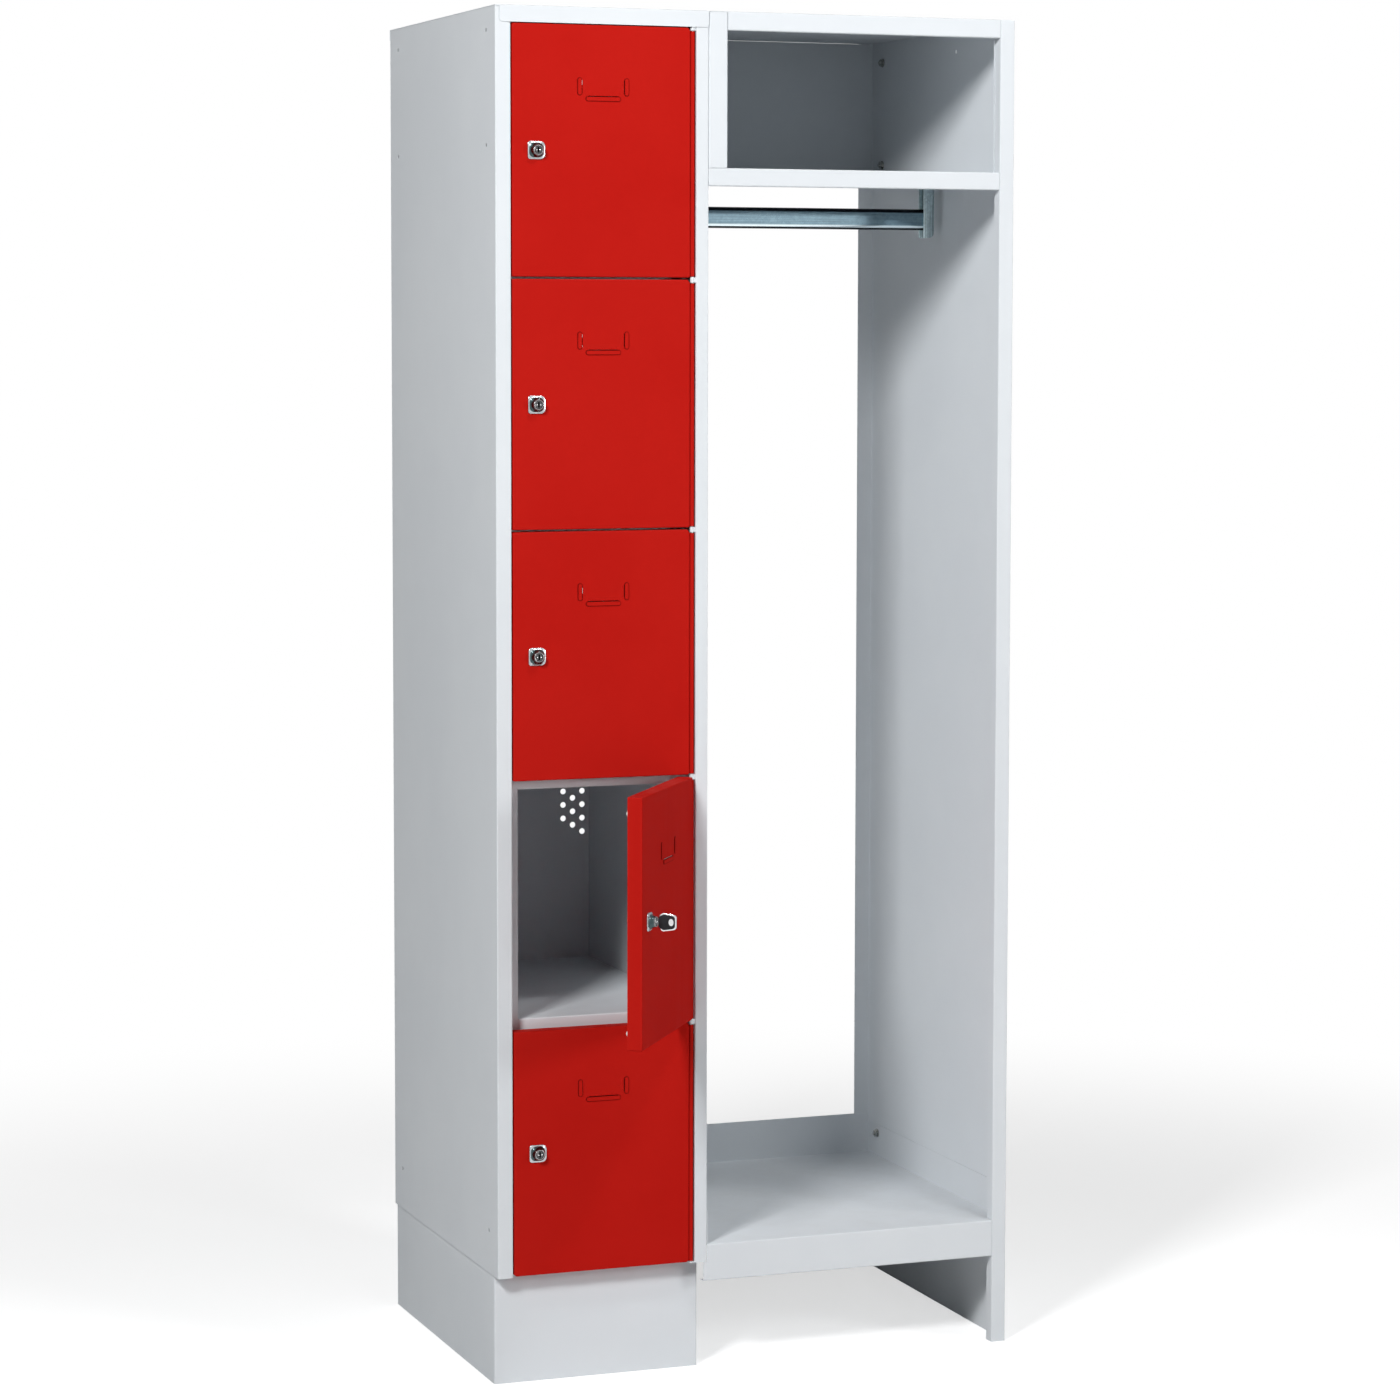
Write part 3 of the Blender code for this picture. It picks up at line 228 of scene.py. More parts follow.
def off_box(tree, place, middle, reach):
    """Distance from a box that is given by its middle and its half lengths."""
    off = add_vector(tree, "ABSOLUTE", add_vector(tree, "SUBTRACT", place, middle))
    off = add_vector(tree, "MAXIMUM", add_vector(tree, "SUBTRACT", off, reach), (0, 0, 0))
    return add_vector(tree, "LENGTH", off, output="Value")


def link_inputs(tree, node, **values):
    """Links values to inputs; underscores in the names stand for spaces."""
    for name, value in values.items():
        tree.links.new(value, node.inputs[name.replace("_", " ")])
    return tree


def open_group(name, outputs, **inputs):
    """A node group with a Vector and more inputs; gives its tree, inputs and output node."""
    tree = bpy.data.node_groups.new(name, "ShaderNodeTree")
    for label, value in {"Vector": (0, 0, 0), **inputs}.items():
        kind = "NodeSocketVector" if isinstance(value, tuple) else "NodeSocketFloat"
        socket = tree.interface.new_socket(label.replace("_", " "), in_out="INPUT",
                                           socket_type=kind)
        socket.default_value = value
    for label in outputs:
        tree.interface.new_socket(label, in_out="OUTPUT", socket_type="NodeSocketFloat")
    return tree, tree.nodes.new("NodeGroupInput").outputs, tree.nodes.new("NodeGroupOutput")


def place_group(tree, group, **inputs):
    """Places a node group in a material; underscores in the names stand for spaces."""
    named = {name.replace("_", " "): value for name, value in inputs.items()}
    return add_node(tree, "ShaderNodeGroup", named, node_tree=group).outputs


print("node helpers ready")

# %% [markdown]
# ## Effects that several finishes share
# Powder coating is sprayed as dry dust and melted in an oven. It flows, but not quite flat:
# the skin keeps a fine orange peel about a millimetre across. Under it the sheet itself is
# never perfectly flat either, so reflections wander over a hand's width. One group holds both
# heights, and a soft patchiness of tone that keeps a large panel from looking computed.

# %% Groups: powder skin and the sheet's waver
def make_powder_skin():
    tree, entry, out = open_group("powder_skin", ("Height", "Patches", "Speckle"),
                                  Grain=0.0011, Patch=0.22)
    place, grain = entry["Vector"], entry["Grain"]
    peel = add_noise(tree, place, grain, 2.0, 0.55)
    broad = add_noise(tree, place, entry["Patch"], 3.0, 0.6)
    flakes = add_noise(tree, place, add_math(tree, "DIVIDE", grain, 0.35), 4.0, 0.7)
    return link_inputs(tree, out, Height=peel, Patches=add_ramp(tree, broad, 0.3, 0.7),
                       Speckle=add_ramp(tree, flakes, 0.35, 0.65))


def make_sheet_waver():
    """Long shallow waves of a rolled sheet."""
    tree, entry, out = open_group("sheet_waver", ("Height",), Span=0.35, Depth=0.0006)
    wave = add_noise(tree, entry["Vector"], entry["Span"], 1.0, 0.3)
    return link_inputs(tree, out, Height=add_math(tree, "MULTIPLY", wave, entry["Depth"]))


POWDER_SKIN = make_powder_skin()
SHEET_WAVER = make_sheet_waver()
print("groups:", POWDER_SKIN.name, SHEET_WAVER.name)

# %% [markdown]
# Use leaves its own marks. Dust settles on what faces up, thinner where things slide.
# Hands and cloths leave tall faint streaks on upright sheets. Coating is rubbed thin and
# shines along folded edges. The edge mask needs no mesh data: inside a box, a point is near
# an edge where the second smallest of its distances to the box's sides is small.

# %% Groups: dust, wiping and rubbed edges
def make_settled_dust():
    tree, entry, out = open_group("settled_dust", ("Mask",), Amount=0.5, Cluster=0.05)
    flat = add_ramp(tree, upward(tree), 0.55, 0.95)
    cloud = add_noise(tree, entry["Vector"], entry["Cluster"], 6.0, 0.65)
    thick = add_ramp(tree, cloud, 0.38, 0.68)
    mask = add_math(tree, "MULTIPLY", add_math(tree, "MULTIPLY", flat, thick), entry["Amount"])
    return link_inputs(tree, out, Mask=mask)


def make_wiped_streaks():
    tree, entry, out = open_group("wiped_streaks", ("Mask",), Width=0.02, Stretch=14.0)
    x, y, z = split(tree, entry["Vector"])
    drawn = combine(tree, x, y, add_math(tree, "DIVIDE", z, entry["Stretch"]))
    streak = add_noise(tree, drawn, entry["Width"], 4.0, 0.6, 0.3)
    return link_inputs(tree, out, Mask=add_ramp(tree, streak, 0.42, 0.72))


def make_rubbed_edges():
    tree, entry, out = open_group("rubbed_edges", ("Mask",), Low=(0, 0, 0), High=(1, 1, 1),
                                  Width=0.003)
    place = entry["Vector"]
    from_low = add_vector(tree, "ABSOLUTE", add_vector(tree, "SUBTRACT", place, entry["Low"]))
    from_high = add_vector(tree, "ABSOLUTE", add_vector(tree, "SUBTRACT", entry["High"], place))
    x, y, z = split(tree, add_vector(tree, "MINIMUM", from_low, from_high))
    smaller, larger = add_math(tree, "MINIMUM", x, y), add_math(tree, "MAXIMUM", x, y)
    second = add_math(tree, "MAXIMUM", smaller, add_math(tree, "MINIMUM", larger, z))
    chips = add_noise(tree, place, 1 / 90, 5.0, 0.7)
    ragged = add_math(tree, "MULTIPLY", entry["Width"], add_ramp(tree, chips, 0.3, 0.7))
    share = add_math(tree, "DIVIDE", second, add_math(tree, "ADD", ragged, 0.0001))
    return link_inputs(tree, out, Mask=add_math(tree, "SUBTRACT", 1.0, share, clamp=True))


SETTLED_DUST = make_settled_dust()
WIPED_STREAKS = make_wiped_streaks()
RUBBED_EDGES = make_rubbed_edges()
print("groups:", SETTLED_DUST.name, WIPED_STREAKS.name, RUBBED_EDGES.name)

# %% [markdown]
# ## The powder coats
# The carcass is a cool light grey and the doors are a strong traffic-light red. Both are the
# same kind of coating, so one function makes both. Base Color carries the patches, the dust
# and the lighter rubbed edges, Roughness the streaks, and one bump the waver of the sheet with
# the peel of the coat. Round each pressed tab of a door's label holder a thin line of painted
# shade stands for the shadow at its edge. Each door gets its own box for the edge mask, and
# the open door turns its pattern by the angle at which it stands.

# %% Powder coat
BODY_GREY = (0.755, 0.788, 0.815, 1.0)
BODY_GREY_DEEP = (0.728, 0.762, 0.793, 1.0)
DOOR_RED = (0.500, 0.0125, 0.0085, 1.0)
DOOR_RED_DEEP = (0.475, 0.0105, 0.0072, 1.0)
DUST = (0.52, 0.50, 0.46, 1.0)
PEEL_DEPTH = 0.0000055
SPECKLE_SHARE = 0.25
RUBBED_GAIN, RUBBED_LIFT = 1.12, 0.004
DUST_DULLS, RUBBING_SHINES = 0.5, 0.1


def start_material(name):
    """An empty material with its Principled shader; gives material, tree and shader."""
    material = bpy.data.materials.new(name)
    material.use_nodes = True
    tree = material.node_tree
    return material, tree, tree.nodes["Principled BSDF"]


def turn_back(tree, place, turn, about):
    """Turns a place back about an upright line, so that a pattern follows an open door."""
    about = Vector(about)
    offset = about - Matrix.Rotation(-turn, 3, "Z") @ about
    return add_node(tree, "ShaderNodeMapping",
                    {"Vector": place, "Location": offset, "Rotation": (0, 0, -turn)},
                    vector_type="POINT").outputs[0]


def powder_coat(name, light, deep, box, turn=0.0, about=(0, 0, 0), dust=0.04, rub=0.35,
                gloss=(0.30, 0.42), specular=0.006, tabs=False):
    """A powder coat whose patterns lie square to a piece's own box."""
    material, tree, shader = start_material(name)
    square = object_place(tree)
    if turn:
        square = turn_back(tree, square, turn, about)
    skin = place_group(tree, POWDER_SKIN, Vector=square)
    streaks = place_group(tree, WIPED_STREAKS, Vector=square)["Mask"]
    dusty = place_group(tree, SETTLED_DUST, Vector=square, Amount=dust)["Mask"]
    rubbed = place_group(tree, RUBBED_EDGES, Vector=square, Low=box[0], High=box[1])["Mask"]
    rubbed = add_math(tree, "MULTIPLY", rubbed, rub)
    bright = tuple(min(1.0, part * RUBBED_GAIN + RUBBED_LIFT) for part in light[:3]) + (1.0,)
    speckle = add_math(tree, "MULTIPLY", skin["Speckle"], SPECKLE_SHARE)
    colour = mix_colours(tree, skin["Patches"], deep, light)
    for share, tone in ((speckle, deep), (rubbed, bright), (dusty, DUST)):
        colour = mix_colours(tree, share, colour, tone)
    # The doors carry painted shade lines round their label tabs.
    if tabs:
        colour = paint_tab_shade(tree, colour, square, box)
    rough = add_ramp(tree, streaks, 0.0, 1.0, *gloss)
    rough = add_math(tree, "ADD", rough, add_math(tree, "MULTIPLY", dusty, DUST_DULLS))
    shine = add_math(tree, "MULTIPLY", rubbed, RUBBING_SHINES)
    rough = add_math(tree, "SUBTRACT", rough, shine, clamp=True)
    waver = place_group(tree, SHEET_WAVER, Vector=square)["Height"]
    peel = add_math(tree, "MULTIPLY", skin["Height"], PEEL_DEPTH)
    bump = add_bump(tree, add_math(tree, "ADD", waver, peel))
    link_inputs(tree, shader, Base_Color=colour, Roughness=rough, Normal=bump)
    shader.inputs["Specular IOR Level"].default_value = specular
    return material


TAB_WIDTH, TAB_HEIGHT, TAB_LONG = 0.0060, 0.0230, 0.0490
TAB_SPACE, TAB_TOP, TAB_DROP, TAB_CENTRE = 0.060, 0.070, 0.0045, 0.1267
LINE_HALF, LINE_SHARE = 0.0009, 0.75
# Painted shade: a dark line round each tab of the label holder, standing for the shadow at its
# edge.
TAB_PAINTED_SHADE = (0.10, 0.0030, 0.0025, 1.0)


def make_painted_tab_shade():
    """A line of painted shade round an upright or lying pill, where the tab's edge would throw its
    shadow.
    """
    tree, entry, out = open_group("painted_tab_shade", ("Mask",), Middle=(0, 0, 0), Reach=(0, 0, 0),
                                  Radius=0.003, Half_Width=0.001)
    away = off_box(tree, entry["Vector"], entry["Middle"], entry["Reach"])
    away = add_math(tree, "ABSOLUTE", add_math(tree, "SUBTRACT", away, entry["Radius"]))
    share = add_math(tree, "DIVIDE", away, entry["Half Width"])
    near = add_math(tree, "SUBTRACT", 1.0, share, clamp=True)
    return link_inputs(tree, out, Mask=add_ramp(tree, near, 0.0, 0.8))


PAINTED_TAB_LINE = make_painted_tab_shade()


def tab_places(box):
    """Middle and straight half length of each pressed tab on a shut door's front."""
    low, high = box
    middle, top, half_deep = low.x + TAB_CENTRE, high.z - TAB_TOP, (high.y - low.y) / 2
    upright = Vector((0, half_deep, (TAB_HEIGHT - TAB_WIDTH) / 2))
    lying = Vector(((TAB_LONG - TAB_WIDTH) / 2, half_deep, 0))
    aside = (TAB_SPACE + TAB_WIDTH) / 2
    places = [(Vector((middle + way * aside, low.y, top - TAB_HEIGHT / 2)), upright)
              for way in (-1, 1)]
    return places + [(Vector((middle, low.y, top - TAB_HEIGHT - TAB_DROP)), lying)]


def paint_tab_shade(tree, colour, square, box):
    """Lays the painted shade lines round the three tabs over a door's colour."""
    for middle, reach in tab_places(box):
        line = place_group(tree, PAINTED_TAB_LINE, Vector=square, Middle=middle, Reach=reach,
                           Radius=TAB_WIDTH / 2, Half_Width=LINE_HALF)["Mask"]
        share = add_math(tree, "MULTIPLY", line, LINE_SHARE)
        colour = mix_colours(tree, share, colour, TAB_PAINTED_SHADE)
    return colour


def coat_node(name, material):
    """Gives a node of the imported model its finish."""
    mesh = NODES[name].data
    mesh.materials.clear()
    mesh.materials.append(material)


SHEETS = ("left_side_panel", "partition_panel", "end_panel", "top_panel", "bottom_panel",
          "shelf_1", "shelf_2", "shelf_3", "shelf_4", "plinth", "hat_box_shell", "hat_box_top",
          "hat_shelf", "boot_tray", "back_panel")
DUSTY = {"top_panel": 0.30, "hat_box_top": 0.30, "boot_tray": 0.08, "hat_shelf": 0.08}
for sheet in SHEETS:
    coat_node(sheet, powder_coat("grey_coat_" + sheet, BODY_GREY, BODY_GREY_DEEP,
                                 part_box(sheet), dust=DUSTY.get(sheet, 0.04)))
print(len(SHEETS), "sheets in the grey coat")

# %% [markdown]
# ## Seats for what a door carries
# Every lock turns on a pin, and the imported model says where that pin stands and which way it
# points out of the door. From those two a seat is made: a matrix whose Z looks out of the
# door, whose Y points up and whose origin lies on the door's face. A lock, key or buffer is
# modelled once about the origin and laid on each door's seat, the open one's too.

# %% Seats on the doors
def door_seat(number):
    joint = JOINTS[f"lock_{number}_turn"]
    outward = Vector(joint["axis"]).normalized()
    up = Vector((0, 0, 1))
    seat = Matrix((up.cross(outward), up, outward)).transposed().to_4x4()
    seat.translation = Vector(joint["pos_m"])
    return seat


SEATS = {number: door_seat(number) for number in DOORS}
OPEN_DOOR = max(DOORS, key=lambda number: abs(SEATS[number][0][2]))
OPEN_TURN = math.atan2(SEATS[OPEN_DOOR][0][2], -SEATS[OPEN_DOOR][1][2])
print("door", OPEN_DOOR, "stands open at", round(math.degrees(OPEN_TURN), 1), "degrees")

# %% Coat the doors
def door_box(number):
    """The door's own box as it is when shut, taken from the first door."""
    low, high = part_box("door_1")
    drop = Vector((0, 0, SEATS[1].translation.z - SEATS[number].translation.z))
    return low - drop, high - drop


for number in DOORS:
    turn = OPEN_TURN if number == OPEN_DOOR else 0.0
    about = JOINTS[f"door_{number}_hinge"]["pos_m"]
    coat_node(f"door_{number}", powder_coat(f"red_coat_{number}", DOOR_RED, DOOR_RED_DEEP,
                                            door_box(number), turn, about, dust=0.05, rub=0.5,
                                            gloss=(0.40, 0.46), specular=0.002, tabs=True))
print("doors coated red")

# %% [markdown]
# ## Metals and mouldings
# The rail and its brackets are bright zinc plate. Zinc dulls into soft flakes, and drawing the
# tube leaves lines along it; the rail's rounded edges carry painted dark reflections with a
# painted highlight line between them. The lock is cast zinc under chrome, bright round its
# edge, with a painted dark reflection in its dish and a painted grey one on its nose. Plug and
# hinge pins are plain steel and the key is nickel-plated. The buffers are white plastic and the
# key's head is dark plastic.

# %% Groups: zinc flakes and drawn lines
def make_zinc_flakes():
    tree, entry, out = open_group("zinc_flakes", ("Tone", "Dullness"), Flake=0.007)
    place, flake = entry["Vector"], entry["Flake"]
    cells = add_node(tree, "ShaderNodeTexVoronoi",
                     {"Vector": place, "Scale": add_math(tree, "DIVIDE", 1.0, flake)})
    tone = add_node(tree, "ShaderNodeSeparateColor", {0: cells.outputs["Color"]}).outputs[0]
    cloud = add_noise(tree, place, add_math(tree, "MULTIPLY", flake, 5.0), 4.0)
    return link_inputs(tree, out, Tone=tone, Dullness=add_ramp(tree, cloud, 0.35, 0.7))


def make_drawn_lines():
    tree, entry, out = open_group("drawn_lines", ("Height",), Pitch=0.0006, Length=0.12)
    x, y, z = split(tree, entry["Vector"])
    thin = [add_math(tree, "DIVIDE", across, entry["Pitch"]) for across in (y, z)]
    drawn = combine(tree, add_math(tree, "DIVIDE", x, entry["Length"]), *thin)
    return link_inputs(tree, out, Height=add_noise(tree, drawn, 1.0, 2.0))


ZINC_FLAKES = make_zinc_flakes()
DRAWN_LINES = make_drawn_lines()
print("groups:", ZINC_FLAKES.name, DRAWN_LINES.name)

# %% Metals
GROOVE_SHARE = 0.6


def plated_metal(name, light, deep, rough, flake, line_pitch=0.0006, line_depth=0.000002,
                 lined=0.3, upright=False, zones=None):
    """Metal plate with flakes and drawn lines in its tone, cloudy gloss and fine grooves."""
    material, tree, shader = start_material(name)
    place = object_place(tree)
    flakes = place_group(tree, ZINC_FLAKES, Vector=place, Flake=flake)
    if upright:
        x, y, z = split(tree, place)
        place = combine(tree, z, x, y)
    lines = place_group(tree, DRAWN_LINES, Vector=place, Pitch=line_pitch)["Height"]
    dark_line = add_math(tree, "MULTIPLY", add_ramp(tree, lines, 0.40, 0.62), lined)
    groove = tuple(part * GROOVE_SHARE for part in deep[:3]) + (1,)
    colour = mix_colours(tree, flakes["Tone"], deep, light)
    colour = mix_colours(tree, dark_line, colour, groove)
    if zones:
        colour = zones(tree, colour)
    gloss = add_ramp(tree, flakes["Dullness"], 0.0, 1.0, *rough)
    bump = add_bump(tree, add_math(tree, "MULTIPLY", lines, line_depth))
    link_inputs(tree, shader, Base_Color=colour, Roughness=gloss, Normal=bump)
    shader.inputs["Metallic"].default_value = 1.0
    return material


# Painted reflections on the rail: dark bands where its rounded edges face up or down, and a bright
# painted highlight line just under its flat side.
SHOULDER_PAINTED_REFLECTION = (0.008, 0.011, 0.015, 1.0)
SHOULDER_PAINTED_HIGHLIGHT = (0.80, 0.92, 0.96, 1.0)


def paint_rail_reflections(tree, colour):
    """Painted reflections: dark rounded edges above and below a tube's flat side, with a painted
    highlight line between.
    """
    rise = upward(tree)
    fall = add_math(tree, "MULTIPLY", rise, -1.0)
    for facing, start, end, tone in ((fall, 0.10, 0.30, SHOULDER_PAINTED_HIGHLIGHT),
                                     (fall, 0.50, 0.70, SHOULDER_PAINTED_REFLECTION),
                                     (rise, 0.12, 0.40, SHOULDER_PAINTED_REFLECTION)):
        colour = mix_colours(tree, add_ramp(tree, facing, start, end), colour, tone)
    return colour


# Painted reflections on the lock's face: the dish inside the flat band is painted dark and the
# nose grey.
DISH_HALF, DISH_CORNER, DISH_SHIFT = 0.0098, 0.0066, -0.0007
BAND_SOFT = 0.0005
NOSE_FROM, NOSE_TO = 0.0069, 0.0073
DISH_PAINTED_REFLECTION = (0.058, 0.086, 0.090, 1.0)
NOSE_PAINTED_REFLECTION = (0.240, 0.240, 0.243, 1.0)


def paint_rosette_reflections(tree, colour):
    """Keeps the metal's own colour on a band round the casting, and paints a dark reflection in
    the dish inside it and a grey one on the nose.
    """
    plan = add_node(tree, "ShaderNodeUVMap", uv_map="face_plan").outputs[0]
    straight = DISH_HALF - DISH_CORNER
    dish = off_box(tree, plan, (DISH_SHIFT, 0, 0), (straight, straight, 0))
    band = add_ramp(tree, dish, DISH_CORNER - BAND_SOFT, DISH_CORNER + BAND_SOFT)
    nose = add_ramp(tree, add_vector(tree, "LENGTH", plan, output="Value"), NOSE_FROM, NOSE_TO)
    return mix_colours(tree, band, mix_colours(tree, nose, NOSE_PAINTED_REFLECTION, DISH_PAINTED_REFLECTION), colour)


# The rail's finish carries painted reflections on its rounded edges, and the rosette's the painted
# reflections of its dish and nose.
ZINC = plated_metal("rail_zinc", (0.29, 0.42, 0.49, 1), (0.24, 0.36, 0.43, 1), (0.13, 0.20),
                    0.004, 0.0011, 0.0000008, 0.35, zones=paint_rail_reflections)
BRACKET_ZINC = plated_metal("bracket_zinc", (0.66, 0.79, 0.82, 1), (0.48, 0.60, 0.63, 1),
                            (0.36, 0.50), 0.003, 0.0016, lined=0.8, upright=True)
FASTENER_ZINC = plated_metal("fastener_zinc", (0.46, 0.47, 0.46, 1), (0.36, 0.37, 0.36, 1),
                             (0.24, 0.38), 0.002)
PIN_STEEL = plated_metal("pin_steel", (0.42, 0.41, 0.40, 1), (0.33, 0.32, 0.31, 1),
                         (0.25, 0.4), 0.002)
ROSETTE_CHROME = plated_metal("rosette_chrome", (0.56, 0.60, 0.62, 1), (0.44, 0.47, 0.49, 1),
                              (0.20, 0.28), 0.002, 0.0004, 0.0000004, zones=paint_rosette_reflections)
PLUG_STEEL = plated_metal("plug_steel", (0.14, 0.14, 0.145, 1), (0.09, 0.09, 0.095, 1),
                          (0.22, 0.36), 0.001, 0.0003, 0.000001)
KEY_NICKEL = plated_metal("key_nickel", (0.80, 0.80, 0.81, 1), (0.70, 0.70, 0.71, 1),
                          (0.12, 0.22), 0.003, 0.0004, 0.0000004, 0.15)
PIN_HEAD = plated_metal("pin_head", (0.86, 0.87, 0.88, 1), (0.80, 0.81, 0.82, 1),
                        (0.10, 0.16), 0.0004, 0.0002, 0.0000002, 0.1)
METALS = (ZINC, BRACKET_ZINC, FASTENER_ZINC, PIN_STEEL, ROSETTE_CHROME, PLUG_STEEL, KEY_NICKEL,
          PIN_HEAD)
print("metals:", *(metal.name for metal in METALS))

# %% Mouldings
PATCH_GRAINS = 20


def moulded_plastic(name, light, deep, rough, grain, depth, specular=0.5):
    """Moulded plastic: an even colour with slight flow marks and a spark-eroded grain."""
    material, tree, shader = start_material(name)
    skin = place_group(tree, POWDER_SKIN, Vector=object_place(tree), Grain=grain,
                       Patch=grain * PATCH_GRAINS)
    gloss = add_ramp(tree, skin["Speckle"], 0.0, 1.0, *rough)
    bump = add_bump(tree, add_math(tree, "MULTIPLY", skin["Height"], depth))
    link_inputs(tree, shader, Base_Color=mix_colours(tree, skin["Patches"], deep, light),
                Roughness=gloss, Normal=bump)
    shader.inputs["Specular IOR Level"].default_value = specular
    return material


BUFFER_WHITE = moulded_plastic("buffer_white", (0.86, 0.86, 0.84, 1), (0.80, 0.80, 0.77, 1),
                               (0.35, 0.5), 0.0008, 0.000004)
KEY_BLACK = moulded_plastic("key_black", (0.020, 0.020, 0.023, 1), (0.012, 0.012, 0.014, 1),
                            (0.28, 0.42), 0.0005, 0.000006, specular=0.15)
print("mouldings:", BUFFER_WHITE.name, KEY_BLACK.name)

# %% [markdown]
# ## Ways of making small parts
# Most small parts of a locker come off a lathe or out of a press: pins, washers, buttons, lock
# noses. Their twin in mesh code is the spin operator, which turns a profile about the Z axis.
# A full spin merges its last ring with its first, and the points on the axis are merged
# after it, so that the poles are closed. A casting whose outline changes as it rises is made
# rim by rim: the face is inset by a hair, and the new rim is set to its height, its width and
# the share by which it has turned from the pad's own outline into a circle.

# %% Shaping helpers
ROUND_STEPS = 40
CORNER_STEPS = 6
MERGE = 0.000001
HAIR = 0.00001
SHARP_ANGLE = math.radians(35)
ALONG_X = Matrix(((0, 0, 1, 0), (1, 0, 0, 0), (0, 1, 0, 0), (0, 0, 0, 1)))


def edges_of(verts):
    """Every edge that ends at some vertices, each once."""
    return list(dict.fromkeys(edge for vert in verts for edge in vert.link_edges))


def only_face(shape):
    shape.faces.ensure_lookup_table()
    return shape.faces[0]


def turn_profile(shape, profile, steps=ROUND_STEPS):
    """Spins a row of (radius, height) points once round Z and closes the poles."""
    points = [shape.verts.new((radius, 0, height)) for radius, height in profile]
    edges = [shape.edges.new(pair) for pair in zip(points, points[1:])]
    bmesh.ops.spin(shape, geom=points + edges, cent=(0, 0, 0), axis=(0, 0, 1), dvec=(0, 0, 0),
                   angle=math.tau, steps=steps, use_merge=True, use_duplicate=False)
    bmesh.ops.remove_doubles(shape, verts=shape.verts, dist=MERGE)


def bevel(shape, geom, offset, segments=2, affect="EDGES"):
    bmesh.ops.bevel(shape, geom=geom, offset=offset, offset_type="OFFSET", segments=segments,
                    profile=0.5, affect=affect, material=-1, clamp_overlap=affect == "EDGES")


def rounded_pad(shape, half_x, half_y, left, right, cuts=0):
    """A flat face with rounded corners; its left and right pairs have radii of their own."""
    size = Matrix.Diagonal((half_x, half_y, 1, 1))
    quad = bmesh.ops.create_grid(shape, x_segments=1, y_segments=1, size=1, matrix=size)["verts"]
    pairs = [[vert for vert in quad if vert.co.x * way > 0] for way in (-1, 1)]
    for pair, radius in zip(pairs, (left, right)):
        bevel(shape, pair, radius, CORNER_STEPS, "VERTICES")
    if cuts:
        straight = sorted(shape.edges, key=lambda edge: edge.calc_length())[-4:]
        bmesh.ops.subdivide_edges(shape, edges=straight, cuts=cuts)
    return only_face(shape)


def hexagon(shape, reach, cuts):
    """A flat six-sided face with more points along its sides."""
    bmesh.ops.create_circle(shape, cap_ends=True, segments=6, radius=reach)
    bmesh.ops.subdivide_edges(shape, edges=shape.edges, cuts=cuts)
    return only_face(shape)


def lift(shape, faces, rise=0.0):
    """Doubles flat faces and lifts the double, whose first face it gives."""
    raised = bmesh.ops.extrude_face_region(shape, geom=faces)["geom"]
    verts = [part for part in raised if isinstance(part, bmesh.types.BMVert)]
    bmesh.ops.translate(shape, verts=verts, vec=(0, 0, rise))
    return next(part for part in raised if isinstance(part, bmesh.types.BMFace))


def walk_rims(shape, face, rows):
    """Sets rim after rim of a face; a row holds height, half width and roundness."""
    size = max(abs(vert.co.x) for vert in face.verts)
    outline = [vert.co.xy / size for vert in face.verts]
    for height, half, roundness in rows:
        bmesh.ops.inset_individual(shape, faces=[face], thickness=HAIR)
        for vert, point in zip(face.verts, outline):
            rim = point.lerp(point.normalized(), roundness) * half
            vert.co = (rim.x, rim.y, height)


def close_ring(shape, first, last):
    """Lays the first face of a walk on the last, takes both out and merges their rims."""
    rims = [(math.atan2(vert.co.y, vert.co.x), vert.co.copy()) for vert in last.verts]
    for vert in first.verts:
        start = math.atan2(vert.co.y, vert.co.x)
        vert.co = min(rims, key=lambda rim: abs(math.remainder(rim[0] - start, math.tau)))[1]
    bmesh.ops.delete(shape, geom=[first, last], context="FACES_ONLY")
    bmesh.ops.remove_doubles(shape, verts=shape.verts, dist=MERGE)


def soften(shape, offset, angle=50):
    """Bevels every edge that is sharper than an angle in degrees."""
    bevel(shape, [edge for edge in shape.edges if len(edge.link_faces) == 2
                  and edge.calc_face_angle() > math.radians(angle)], offset)


def keep_plan(shape, name="face_plan"):
    """Keeps each corner's place across the face as a UV map for the finish to follow."""
    plan = shape.loops.layers.uv.new(name)
    for face in shape.faces:
        for loop in face.loops:
            loop[plan].uv = loop.vert.co.xy


def place_shape(shape, seat):
    """Moves a whole bmesh onto its seat."""
    bmesh.ops.transform(shape, matrix=seat, verts=shape.verts)


def make_piece(name, shape, material, body, stands_for=(), angle=SHARP_ANGLE):
    """Turns a bmesh into a piece that rides on one of the locker's bodies."""
    bmesh.ops.recalc_face_normals(shape, faces=shape.faces)
    mesh = bpy.data.meshes.new(name)
    shape.to_mesh(mesh)
    shape.free()
    mesh.shade_smooth()
    mesh.set_sharp_from_angle(angle=angle)
    mesh.materials.append(material)
    piece = bpy.data.objects.new(name, mesh)
    bpy.context.scene.collection.objects.link(piece)
    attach(piece, body)
    if stands_for:
        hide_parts(*stands_for)
    return piece


def body_of(node):
    return NODES[node]["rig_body"]


def box_ends(node):
    """The low and high corners of a node's box, and its middle."""
    low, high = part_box(node)
    return low, high, (low + high) / 2


print("shaping helpers ready")

# %% [markdown]
# ## Door buffers
# A white plastic button is pushed through the lip of each door at the top and bottom of its
# free edge, and the door rests on it when it is shut. The real button is a shallow dome on a
# short stem, so it is one turned profile. The first door's buttons say where they sit, and
# the same two places on the other seats hold the rest.

